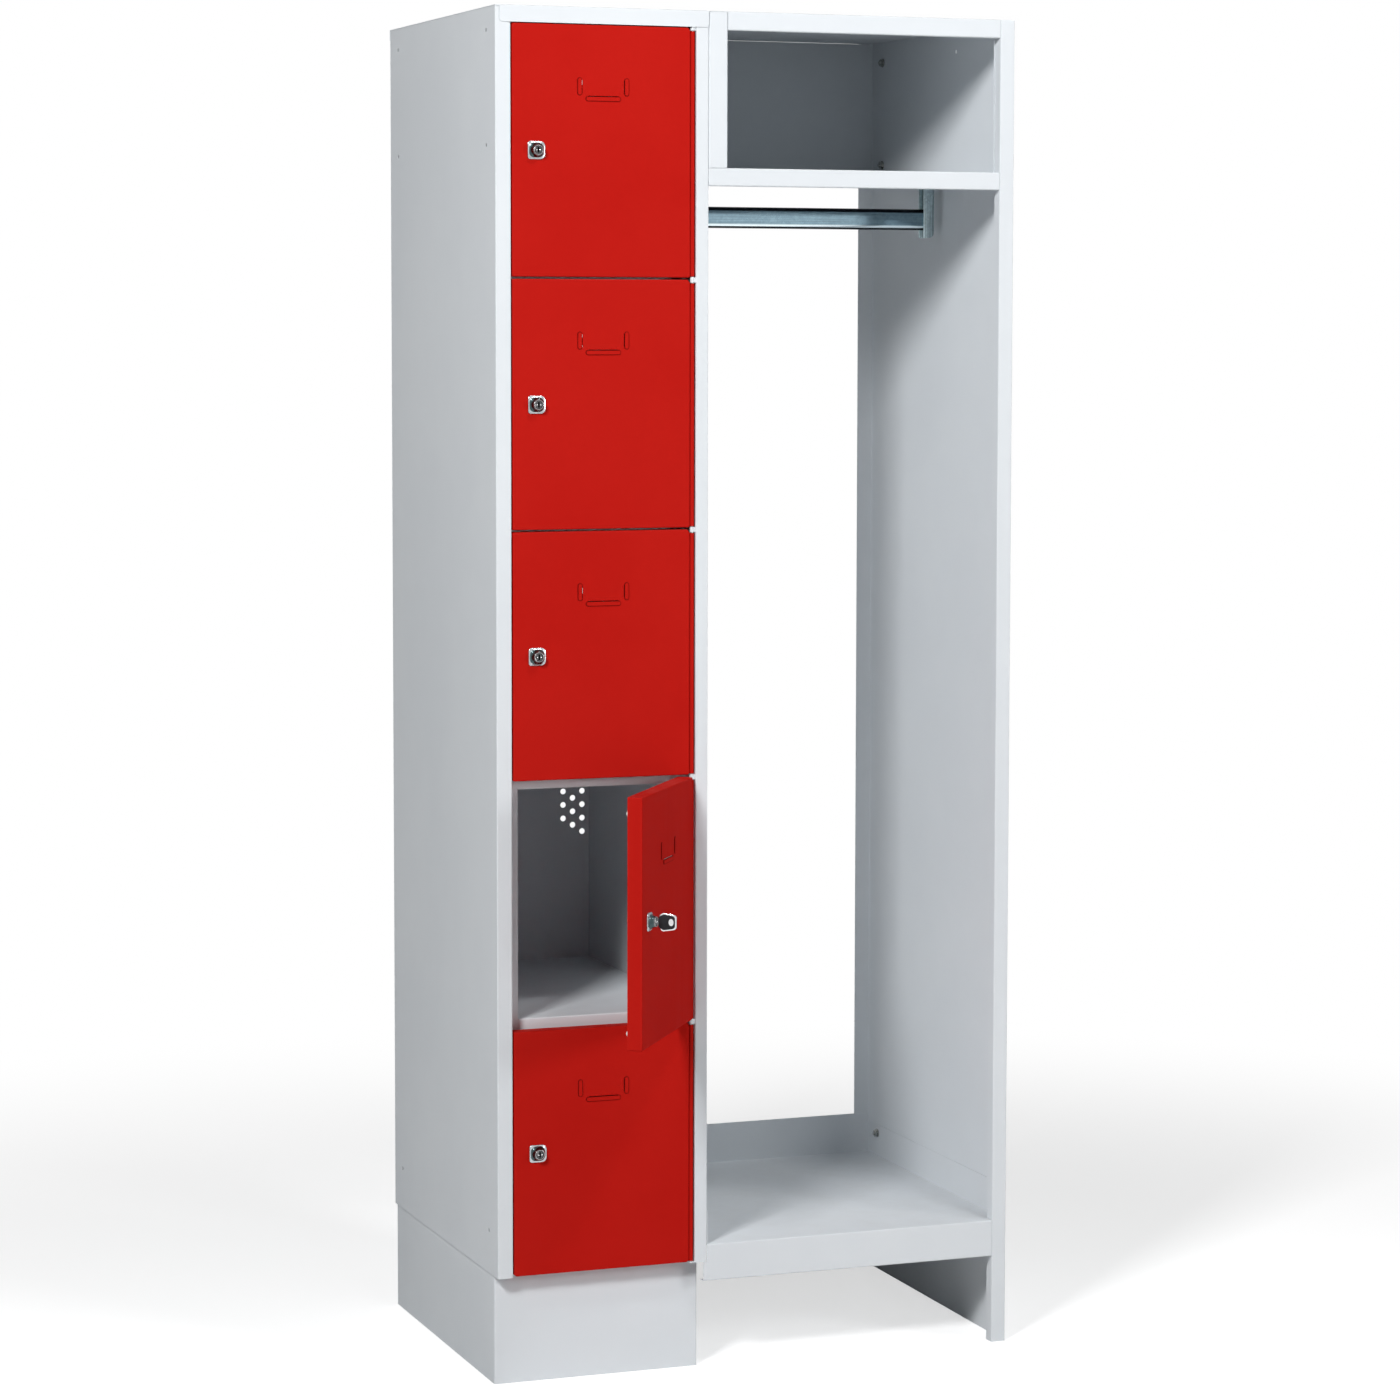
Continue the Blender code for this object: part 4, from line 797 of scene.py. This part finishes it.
# %% Buffers
BUFFER_STEM_R, BUFFER_STEM, STEM_BREAK = 0.0018, 0.004, 0.8
DOME_STEPS = 8


def buffer_profile(radius, height):
    """Stem, flat seat, then a dome up to the pole."""
    angles = [math.radians(90) * step / DOME_STEPS for step in range(DOME_STEPS + 1)]
    stem = [(0, -BUFFER_STEM), (BUFFER_STEM_R * STEM_BREAK, -BUFFER_STEM),
            (BUFFER_STEM_R, -BUFFER_STEM * STEM_BREAK), (BUFFER_STEM_R, 0)]
    return stem + [(radius * math.cos(angle), height * math.sin(angle)) for angle in angles]


from_shut = SEATS[1].inverted()
lip = (from_shut @ Vector((0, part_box("door_1")[1].y, 0))).z
for number in DOORS:
    for end in ("upper", "lower"):
        node = f"door_buffer_{end}_{number}"
        low, high, middle = box_ends(f"door_buffer_{end}_1")
        middle = from_shut @ middle
        button = bmesh.new()
        turn_profile(button, buffer_profile((high.x - low.x) / 2, lip - (from_shut @ high).z))
        inward = SEATS[number] @ Matrix.Translation((middle.x, middle.y, lip))
        place_shape(button, inward @ Matrix.Rotation(math.pi, 4, "Y"))
        make_piece(f"buffer_{end}_{number}", button, BUFFER_WHITE, body_of(node),
                   [node])
print("buffers turned:", 2 * len(DOORS))

# %% [markdown]
# ## Lock rosettes
# The lock's face is a square casting of 24 mm with small corners on the left and much rounder
# ones on the right. A narrow flat band runs round it, then the metal sweeps up into a round
# nose that holds the plug in a shallow recess. The casting goes on through the door as a
# barrel, which a hexagon nut clamps from behind. Walked as rims, the skin comes up outside,
# turns over the nose, runs down the bore and returns up the barrel to where it began.

# %% Rosette and barrel
LOCK_LOW, LOCK_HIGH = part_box("lock_housing_1")
PROUD = SEATS[1].translation.y - LOCK_LOW.y
DEEP = LOCK_HIGH.y - SEATS[1].translation.y
ROSETTE_HALF = (LOCK_HIGH.x - LOCK_LOW.x) / 2
LOCK_SEAT_GAP = 0.0003
ROSETTE_LEFT, ROSETTE_RIGHT = 0.0035, 0.0066
NOSE_R, BORE_R, BARREL_R, BARREL_BREAK = 0.0070, 0.0053, 0.0079, 0.0004
BORE_BREAK = 0.0006
ROSETTE_RIMS = (
    (0.0005, 1.000, 0.0), (0.0013, 1.000, 0.0), (0.0018, 0.985, 0.0), (0.0020, 0.955, 0.0),
    (0.0021, 0.900, 0.0), (0.0024, 0.850, 0.1), (0.0029, 0.800, 0.3), (0.0037, 0.750, 0.55),
    (0.0049, 0.700, 0.8), (0.0065, 0.655, 1.0),
)
NOSE_RIMS = ((0.0022, 1.03), (0.0007, 1.0), (0.00025, 0.975), (0.0, 0.925), (0.0, 0.83),
             (0.00015, 0.775))


def lock_housing():
    """The casting and its barrel, walked once round their section."""
    rows = [(rise, share * ROSETTE_HALF, turned) for rise, share, turned in ROSETTE_RIMS]
    rows += [(PROUD - drop, share * NOSE_R, 1.0) for drop, share in NOSE_RIMS]
    rows += [(PROUD - BORE_BREAK, BORE_R, 1.0), (-DEEP, BORE_R, 1.0),
             (-DEEP, BARREL_R - BARREL_BREAK, 1.0), (BARREL_BREAK - DEEP, BARREL_R, 1.0),
             (LOCK_SEAT_GAP, BARREL_R, 1.0), (LOCK_SEAT_GAP, 0.985 * ROSETTE_HALF, 0.0)]
    shape = bmesh.new()
    under = rounded_pad(shape, ROSETTE_HALF, ROSETTE_HALF, ROSETTE_LEFT, ROSETTE_RIGHT, cuts=6)
    top = lift(shape, [under])
    walk_rims(shape, top, rows)
    close_ring(shape, under, top)
    return shape


NUT_REACH, NUT_TALL, NUT_BREAK, NUT_CHAMFER = 0.0121, 0.0040, 0.0005, 0.96
DOOR_SHEET = 0.0010


def lock_nut():
    """Hexagon nut behind the door's sheet, chamfered on both faces."""
    front = -DOOR_SHEET - LOCK_SEAT_GAP
    rear, inner = front - NUT_TALL, BARREL_R + 0.0001
    shape = bmesh.new()
    under = hexagon(shape, NUT_REACH, cuts=5)
    top = lift(shape, [under])
    walk_rims(shape, top, [
        (front, NUT_REACH * NUT_CHAMFER, 0.15), (front - NUT_BREAK, NUT_REACH, 0.0),
        (rear + NUT_BREAK, NUT_REACH, 0.0), (rear, NUT_REACH * NUT_CHAMFER, 0.15),
        (rear, inner, 1.0), (front, inner, 1.0)])
    close_ring(shape, under, top)
    return shape


for number in DOORS:
    node = f"lock_housing_{number}"
    casting = lock_housing()
    keep_plan(casting)
    place_shape(casting, SEATS[number])
    make_piece(f"lock_rosette_{number}", casting, ROSETTE_CHROME, body_of(node),
               [node], angle=math.radians(50))
    nut = lock_nut()
    place_shape(nut, SEATS[number])
    make_piece(f"lock_nut_{number}", nut, FASTENER_ZINC, body_of(node))
print("rosettes stand", round(PROUD * 1000, 1), "mm proud and reach", round(DEEP * 1000, 1),
      "mm in")

# %% [markdown]
# ## Plugs
# The plug is what the key turns. Its face is a disc of steel with an upright slot, and two
# bright pin heads sit beside the slot. Filling the space between a circle and a slot outline
# gives the face, and both outlines are then drawn back: the rim to the length of the barrel,
# the slot to the depth of the key's blade. Behind the barrel the plug narrows for the cam and
# ends in the head of the cam's screw.

# %% Plugs
PLUG_R, PLUG_FACE, FACE_SHARE = 0.0050, PROUD - 0.0004, 0.93
SLOT_HALF_WIDE, SLOT_HALF_TALL, SLOT_CORNER, SLOT_DEEP = 0.0012, 0.0038, 0.0005, 0.0222
PLUG_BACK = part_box("lock_cylinder_1")[1].y - SEATS[1].translation.y
SPIGOT_R, SCREW_R, SCREW_TALL, SCREW_BREAK = 0.0029, 0.0045, 0.0018, 0.0006
PIN_HEAD_R, PIN_HEAD_OUT = 0.0011, 0.0024


def draw_back(shape, rim, stops):
    """Pulls a closed rim through stops of (height, scale of its width)."""
    for height, scale in stops:
        drawn = bmesh.ops.extrude_edge_only(shape, edges=rim)["geom"]
        rim = [part for part in drawn if isinstance(part, bmesh.types.BMEdge)]
        for vert in drawn:
            if isinstance(vert, bmesh.types.BMVert):
                vert.co = (vert.co.x * scale, vert.co.y * scale, height)
    bmesh.ops.contextual_create(shape, geom=rim)


def lock_plug():
    """Face with its slot, the plug behind it, the spigot and the screw's head."""
    shape = bmesh.new()
    slot = rounded_pad(shape, SLOT_HALF_WIDE, SLOT_HALF_TALL, SLOT_CORNER, SLOT_CORNER)
    slot_rim = list(slot.edges)
    bmesh.ops.delete(shape, geom=[slot], context="FACES_ONLY")
    disc = bmesh.ops.create_circle(shape, cap_ends=False, segments=ROUND_STEPS,
                                   radius=PLUG_R * FACE_SHARE)
    disc_rim = edges_of(disc["verts"])
    bmesh.ops.triangle_fill(shape, use_beauty=True, edges=slot_rim + disc_rim)
    bmesh.ops.translate(shape, verts=shape.verts, vec=(0, 0, PLUG_FACE))
    draw_back(shape, slot_rim, [(PLUG_FACE - SLOT_DEEP, 1.0)])
    head = PLUG_BACK - SCREW_TALL
    draw_back(shape, disc_rim, [
        (PLUG_FACE - 0.0003, 1 / FACE_SHARE), (-DEEP, 1.0), (-DEEP, SPIGOT_R / PLUG_R),
        (-head, 1.0), (-head, SCREW_R / SPIGOT_R), (SCREW_BREAK - PLUG_BACK, 1.0),
        (-PLUG_BACK, 0.85)])
    for way in (-1, 1):
        seat = Matrix.Translation((way * PIN_HEAD_OUT, 0, PLUG_FACE))
        ball = bmesh.ops.create_uvsphere(shape, u_segments=12, v_segments=8, radius=PIN_HEAD_R,
                                         matrix=seat)["verts"]
        for face in {face for vert in ball for face in vert.link_faces}:
            face.material_index = 1
    return shape


for number in DOORS:
    node = f"lock_cylinder_{number}"
    plug = lock_plug()
    place_shape(plug, SEATS[number])
    piece = make_piece(f"lock_plug_{number}", plug, PLUG_STEEL, body_of(node), [node])
    piece.data.materials.append(PIN_HEAD)
print("plugs set", round((PROUD - PLUG_FACE) * 1000, 1), "mm below the noses")

# %% [markdown]
# ## The key
# The key is left in the open door's lock. A thin plate of plated brass makes the blade and the
# rim of the head, and dark plastic fills the head on both sides. The head is widest a third of
# the way out and narrows to its end, where an oval window in the plastic shows the bright
# plate. Outline and window are filled as one face with an opening, and lifting that face gives
# the plastic its thickness. The plate is lifted from the plain outline in the same way.

# %% Key
KEY_START = PROUD + 0.0003
NECK_LONG, NECK_HALF, NECK_OVERLAP = 0.0006, 0.0045, 0.0008
HEAD_LONG, HEAD_NEAR, HEAD_WIDE, HEAD_FAR = 0.0258, 0.0078, 0.0122, 0.0094
WIDEST_AT = 0.30
HEAD_CORNER, NEAR_CORNER_SHARE = 0.0040, 0.6
PLATE_HALF, GRIP_HALF, GRIP_MARGIN = 0.0012, 0.0015, 0.0017
KEY_BREAK, KEY_INSET = 0.0003, 0.98
WINDOW_X, WINDOW_HALF_WIDE, WINDOW_HALF_TALL, WINDOW_MORE = 0.0188, 0.0026, 0.0040, 0.0008
BLADE_LONG, BLADE_HALF, BLADE_THICK, BLADE_STEPS = 0.0220, 0.0034, 0.0018, 16
CUT_DEPTHS = (0.0002, 0.0014, 0.0008, 0.0018)
TIP_SHARE = 0.35
OUTWARD = Matrix.Rotation(math.radians(-90), 4, "Y")


def head_share(along):
    """Half width of the head at a share of its length, as a part of the widest."""
    if along < WIDEST_AT:
        start, end, share = HEAD_NEAR, HEAD_WIDE, along / WIDEST_AT
    else:
        start, end, share = HEAD_WIDE, HEAD_FAR, (along - WIDEST_AT) / (1 - WIDEST_AT)
    return (start + (end - start) * share) / HEAD_WIDE


def key_head(margin, half_thick, window=False):
    """The key's head, drawn in by a margin, as a plate with or without its oval window."""
    shape = bmesh.new()
    half_long = HEAD_LONG / 2 - margin
    outline = rounded_pad(shape, half_long, HEAD_WIDE - margin,
                          HEAD_CORNER * NEAR_CORNER_SHARE, HEAD_CORNER)
    sides = sorted(outline.edges, key=lambda edge: abs(edge.verts[0].co.x - edge.verts[1].co.x))
    bmesh.ops.subdivide_edges(shape, edges=sides[-2:], cuts=9)
    bmesh.ops.dissolve_faces(shape, faces=shape.faces, use_verts=False)
    outline = only_face(shape)
    for vert in outline.verts:
        vert.co.y *= head_share((vert.co.x + half_long) / (2 * half_long))
        vert.co.x += HEAD_LONG / 2
    if window:
        rim = list(outline.edges)
        bmesh.ops.delete(shape, geom=[outline], context="FACES_ONLY")
        oval = Matrix.Translation((WINDOW_X, 0, 0)) @ Matrix.Diagonal(
            (WINDOW_HALF_WIDE + WINDOW_MORE, WINDOW_HALF_TALL + WINDOW_MORE, 1, 1))
        hole = bmesh.ops.create_circle(shape, cap_ends=False, segments=28, radius=1, matrix=oval)
        bmesh.ops.triangle_fill(shape, use_beauty=True, edges=rim + edges_of(hole["verts"]))
    bmesh.ops.translate(shape, verts=shape.verts, vec=(0, 0, -half_thick))
    lift(shape, list(shape.faces), 2 * half_thick)
    bmesh.ops.recalc_face_normals(shape, faces=shape.faces)
    soften(shape, KEY_BREAK)
    return shape


def add_neck(shape):
    """The short bar between blade and head, with softened edges."""
    half_long, half_thick = (NECK_LONG + NECK_OVERLAP) / 2, PLATE_HALF * KEY_INSET
    place = Matrix.Translation(((NECK_OVERLAP - NECK_LONG) / 2, 0, 0)) @ Matrix.Diagonal(
        (2 * half_long, 2 * NECK_HALF, 2 * half_thick, 1))
    block = bmesh.ops.create_cube(shape, size=1, matrix=place)["verts"]
    bmesh.ops.bevel(shape, geom=edges_of(block), offset=KEY_BREAK, offset_type="OFFSET",
                    segments=2, profile=0.5, affect="EDGES", material=-1)


def add_blade(shape):
    """The blade, with its cuts along the lower edge and a pointed tip."""
    size = Matrix.Translation((-BLADE_LONG / 2 - NECK_LONG, 0, -BLADE_THICK / 2))
    size = size @ Matrix.Diagonal((BLADE_LONG / 2, BLADE_HALF, 1, 1))
    sheet = bmesh.ops.create_grid(shape, x_segments=BLADE_STEPS, y_segments=2, size=1,
                                  matrix=size)["verts"]
    for vert in sheet:
        step = round((vert.co.x + NECK_LONG + BLADE_LONG) / BLADE_LONG * BLADE_STEPS)
        if vert.co.y < -BLADE_HALF / 2 and 2 < step < BLADE_STEPS - 2:
            vert.co.y += CUT_DEPTHS[step // 2 % len(CUT_DEPTHS)]
        if step == 0:
            vert.co.y *= TIP_SHARE
    faces = dict.fromkeys(face for vert in sheet for face in vert.link_faces)
    lift(shape, list(faces), BLADE_THICK)


key_seat = SEATS[OPEN_DOOR] @ Matrix.Translation((0, 0, KEY_START + NECK_LONG)) @ OUTWARD
plate = key_head(0.0, PLATE_HALF)
add_neck(plate)
add_blade(plate)
place_shape(plate, key_seat)
make_piece("key_plate", plate, KEY_NICKEL, body_of("key"), ["key"])
for side in (-1, 1):
    grip = key_head(GRIP_MARGIN, (GRIP_HALF - PLATE_HALF) / 2 + 0.0002, window=True)
    lay = Matrix.Translation((0, 0, side * (GRIP_HALF + PLATE_HALF) / 2 * KEY_INSET))
    place_shape(grip, key_seat @ lay)
    make_piece("key_grip_" + ("left" if side < 0 else "right"), grip, KEY_BLACK, body_of("key"))
print("key reaches", round((KEY_START + NECK_LONG + HEAD_LONG) * 1000, 1), "mm out of the door")

# %% [markdown]
# ## Hinge pins
# Each door turns on loose steel pins that stand in the ears of the middle strip. A pin is cut
# from wire and its ends are only broken, so the profile has two small chamfers.

# %% Hinge pins
PIN_BREAK = 0.0004
for name in sorted(NODES):
    if name.startswith("hinge_pin"):
        low, high, middle = box_ends(name)
        radius, tall = (high.x - low.x) / 2, high.z - low.z
        pin = bmesh.new()
        turn_profile(pin, [(0, 0), (radius - PIN_BREAK, 0), (radius, PIN_BREAK),
                           (radius, tall - PIN_BREAK), (radius - PIN_BREAK, tall), (0, tall)],
                     steps=20)
        place_shape(pin, Matrix.Translation((middle.x, middle.y, low.z)))
        make_piece(name + "_turned", pin, PIN_STEEL, body_of(name), [name])
print("hinge pins turned")

# %% [markdown]
# ## Bolts
# The hat box and the boot tray are bolted to the end panel: a low mushroom head outside, a
# washer and a hexagon nut inside. Head, shank, washer and thread end are one turned profile,
# and the nut is a chamfered hexagon walked round them.

# %% Bolts
HEAD_RIMS = ((0.45, 0.97), (0.76, 0.80), (0.94, 0.48), (1.0, 0.16))
HEAD_GAP, HEAD_TALL, HEAD_R, SHANK_R, SHANK_BREAK = 0.0003, 0.0018, 0.0055, 0.0025, 0.0005
WASHER_R, WASHER_TOP, WASHER_LOW, WASHER_BREAK = 0.0065, -0.0026, -0.0036, 0.0002
BOLT_NUT_LOW, BOLT_END, BOLT_NUT_REACH = -0.0076, -0.0096, 0.00485


def bolt_shape():
    """Head, shank, washer and thread end as one turned profile."""
    shape = bmesh.new()
    profile = [(0, HEAD_GAP + HEAD_TALL)]
    profile += [(share * HEAD_R, HEAD_GAP + rise * HEAD_TALL) for share, rise in HEAD_RIMS]
    profile += [
        (HEAD_R, HEAD_GAP), (SHANK_R, HEAD_GAP), (SHANK_R, WASHER_TOP),
        (WASHER_R - WASHER_BREAK, WASHER_TOP), (WASHER_R, WASHER_TOP - WASHER_BREAK),
        (WASHER_R, WASHER_LOW + WASHER_BREAK), (WASHER_R - WASHER_BREAK, WASHER_LOW),
        (SHANK_R, WASHER_LOW), (SHANK_R, BOLT_END + SHANK_BREAK),
        (SHANK_R - SHANK_BREAK, BOLT_END), (0, BOLT_END)]
    turn_profile(shape, profile, steps=28)
    return shape


def bolt_nut():
    """A hexagon walked from the washer to the thread, chamfered at its free end."""
    shape = bmesh.new()
    under = hexagon(shape, BOLT_NUT_REACH, cuts=3)
    bmesh.ops.translate(shape, verts=shape.verts, vec=(0, 0, WASHER_LOW))
    walk_rims(shape, lift(shape, [under]), [
        (BOLT_NUT_LOW + NUT_BREAK, BOLT_NUT_REACH, 0.0),
        (BOLT_NUT_LOW, BOLT_NUT_REACH * 0.93, 0.3), (BOLT_NUT_LOW, SHANK_R + 0.0002, 1.0)])
    return shape


for name in sorted(NODES):
    if "_bolt_" in name:
        low, high, middle = box_ends(name)
        seat = Matrix.Translation((high.x - HEAD_TALL - HEAD_GAP, middle.y, middle.z)) @ ALONG_X
        for part, shape in (("bolt", bolt_shape()), ("nut", bolt_nut())):
            place_shape(shape, seat)
            make_piece(f"{name}_{part}", shape, FASTENER_ZINC, body_of(name),
                       [name] if part == "bolt" else ())
print("bolts and nuts made")

# %% [markdown]
# ## Coat rail
# The rail is an oval tube, 30 by 15 mm, drawn from thin zinc-plated steel. A pad as tall as the
# tube with corners almost as round as its half width gives the oval, and it is drawn out to the
# rail's length. Both ends are inset by the wall's thickness, their middles are cut out, and the
# two inner rims are bridged to make the bore. The cut ends stay crisp, as a saw leaves them.

# %% Rail
RAIL_WALL = 0.0012
ROUND_SHARE = 0.995
low, high, middle = box_ends("hanging_rail")
half_wide, half_tall = (high.y - low.y) / 2, (high.z - low.z) / 2
tube = bmesh.new()
near_end = rounded_pad(tube, half_wide, half_tall, half_wide * ROUND_SHARE,
                       half_wide * ROUND_SHARE)
far_end = lift(tube, [near_end], high.x - low.x)
bmesh.ops.inset_individual(tube, faces=[near_end, far_end], thickness=RAIL_WALL)
bore_rims = list(near_end.edges) + list(far_end.edges)
bmesh.ops.delete(tube, geom=[near_end, far_end], context="FACES_ONLY")
bmesh.ops.bridge_loops(tube, edges=bore_rims)
place_shape(tube, Matrix.Translation((low.x, middle.y, middle.z)) @ ALONG_X)
make_piece("rail_tube", tube, ZINC, body_of("hanging_rail"), ["hanging_rail"])
print("rail", round((high.x - low.x) * 1000), "mm long")

# %% [markdown]
# ## Back sheet with round vents
# The back of the column is punched with round holes, in a group of twelve at each side of every
# compartment: five, four and three to a column, the longest beside the wall. One face is
# filled between the sheet's outline and all the holes, and lifting it gives the sheet.

# %% Back sheet
VENT_R, VENT_SIDES = 0.00425, 20
VENT_FIRST, VENT_COLUMN, VENT_ROW = 0.0120, 0.0147, 0.0200
VENT_DROP = 0.0837
VENT_COUNTS = (5, 4, 3)


def vent_places(left, right):
    """Centres of all holes, measured from the column's two outer faces."""
    tops = [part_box("door_1")[1].z] + [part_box(f"shelf_{number}")[0].z for number in range(1, 5)]
    for top in tops:
        for column, count in enumerate(VENT_COUNTS):
            reach = VENT_FIRST + column * VENT_COLUMN
            for row in range(count):
                level = top - VENT_DROP + (row - (count - 1) / 2) * VENT_ROW
                yield left + reach, level
                yield right - reach, level


low, high, middle = box_ends("back_panel")
size = Matrix.Diagonal(((high.x - low.x) / 2, (high.z - low.z) / 2, 1, 1))
sheet = bmesh.new()
bmesh.ops.create_grid(sheet, x_segments=1, y_segments=1, size=1,
                      matrix=Matrix.Translation((middle.x, middle.z, 0)) @ size)
bmesh.ops.delete(sheet, geom=list(sheet.faces), context="FACES_ONLY")
vents = list(vent_places(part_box("left_side_panel")[0].x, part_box("partition_panel")[1].x))
for x, z in vents:
    bmesh.ops.create_circle(sheet, cap_ends=False, segments=VENT_SIDES, radius=VENT_R,
                            matrix=Matrix.Translation((x, z, 0)))
bmesh.ops.triangle_fill(sheet, use_beauty=True, edges=list(sheet.edges))
lift(sheet, list(sheet.faces), high.y - low.y)
place_shape(sheet, Matrix(((1, 0, 0, 0), (0, 0, -1, high.y), (0, 1, 0, 0), (0, 0, 0, 1))))
make_piece("back_sheet", sheet, NODES["back_panel"].data.materials[0], body_of("back_panel"),
           ["back_panel"])
print(len(vents), "vents in the back sheet")

# %% [markdown]
# ## The rest of the hardware
# The rail brackets and the lock cams are pressed from plate, and a press leaves a slightly
# rounded edge that catches the light. Each is a copy of its packed sheet: the copy's loose
# triangles are merged and its flat faces joined, and then every sharp edge is broken.

# %% Brackets and cams
PRESSED_EDGE = 0.0004
FLAT_JOIN = math.radians(1)
PRESSED = {"rail_bracket": BRACKET_ZINC, "lock_cam": FASTENER_ZINC}


def pressed_copy(node):
    """A merged copy of a packed plate with broken edges."""
    shape = bmesh.new()
    shape.from_mesh(NODES[node].data)
    bmesh.ops.remove_doubles(shape, verts=shape.verts, dist=HAIR)
    bmesh.ops.dissolve_limit(shape, angle_limit=FLAT_JOIN, verts=shape.verts, edges=shape.edges)
    soften(shape, PRESSED_EDGE, angle=60)
    return shape


for name in sorted(NODES):
    for start, metal in PRESSED.items():
        if name.startswith(start):
            make_piece(name + "_pressed", pressed_copy(name), metal, body_of(name),
                       [name])
print("brackets and cams pressed")

# %% [markdown]
# ## Floor and backdrop
# The photograph stands the locker on pure white. Here a pale floor catches the locker's soft
# shadow near its foot and fades into the white backdrop before its edge can be seen. The camera
# sees the white, and so does every ray that comes off metal, so the plated parts mirror the
# same backdrop that stands behind them. Light that bounces about between the sheets sees the
# plain pale floor and a faint sky, so the white adds no light to the locker.

# %% Floor
FLOOR_HALF, FLOOR_DROP = 9.0, 0.0005
FLOOR_PALE = (0.80, 0.80, 0.80, 1.0)
WHITE = (1.0, 1.0, 1.0, 1.0)
FADE_START, FADE_END = 1.0, 2.6
FLOOR_GLOW = 0.60

disc = bmesh.new()
bmesh.ops.create_circle(disc, cap_ends=True, segments=96, radius=FLOOR_HALF)
floor_mesh = bpy.data.meshes.new("studio_floor")
disc.to_mesh(floor_mesh)
disc.free()
floor = bpy.data.objects.new("studio_floor", floor_mesh)
floor.location.z = -FLOOR_DROP
bpy.context.scene.collection.objects.link(floor)


def seen_directly(tree):
    """1 for rays that show the backdrop: from the camera, off metal or through glass."""
    path = add_node(tree, "ShaderNodeLightPath").outputs
    seen = add_math(tree, "MAXIMUM", path["Is Camera Ray"], path["Is Glossy Ray"])
    return add_math(tree, "MAXIMUM", seen, path["Is Transmission Ray"])


def add_shader(tree, kind, inputs):
    return add_node(tree, "ShaderNode" + kind, inputs).outputs[0]


def floor_finish():
    """Matt and pale for bounced light; with a glow that fades to white where it is seen."""
    material, tree, shader = start_material("pale_floor")
    tree.nodes.remove(shader)
    far = add_vector(tree, "LENGTH", object_place(tree), output="Value")
    fade = add_ramp(tree, far, FADE_START, FADE_END)
    matt = add_shader(tree, "BsdfDiffuse", {"Color": FLOOR_PALE})
    glow = add_shader(tree, "Emission", {"Color": WHITE, "Strength": FLOOR_GLOW})
    white = add_shader(tree, "Emission", {"Color": WHITE, "Strength": 1.0})
    lit = add_shader(tree, "AddShader", {0: matt, 1: glow})
    near = add_shader(tree, "MixShader", {0: fade, 1: lit, 2: white})
    mixed = add_shader(tree, "MixShader", {0: seen_directly(tree), 1: matt, 2: near})
    link_inputs(tree, tree.nodes["Material Output"], Surface=mixed)
    return material


floor_mesh.materials.append(floor_finish())
print("floor laid")

# %% Backdrop
AMBIENT = 0.015
AMBIENT_TINT = (0.86, 0.93, 1.0, 1.0)
world = bpy.data.worlds.new("white_backdrop")
world.use_nodes = True
sky = world.node_tree
ambient = sky.nodes["Background"]
ambient.inputs["Color"].default_value = AMBIENT_TINT
ambient.inputs["Strength"].default_value = AMBIENT
backdrop = add_shader(sky, "Background", {"Color": WHITE, "Strength": 1.0})
shown = add_shader(sky, "MixShader", {0: seen_directly(sky), 1: ambient.outputs[0], 2: backdrop})
link_inputs(sky, sky.nodes["World Output"], Surface=shown)
bpy.context.scene.world = world
bpy.context.scene.view_settings.view_transform = "Standard"
print("white backdrop, ambient", AMBIENT)
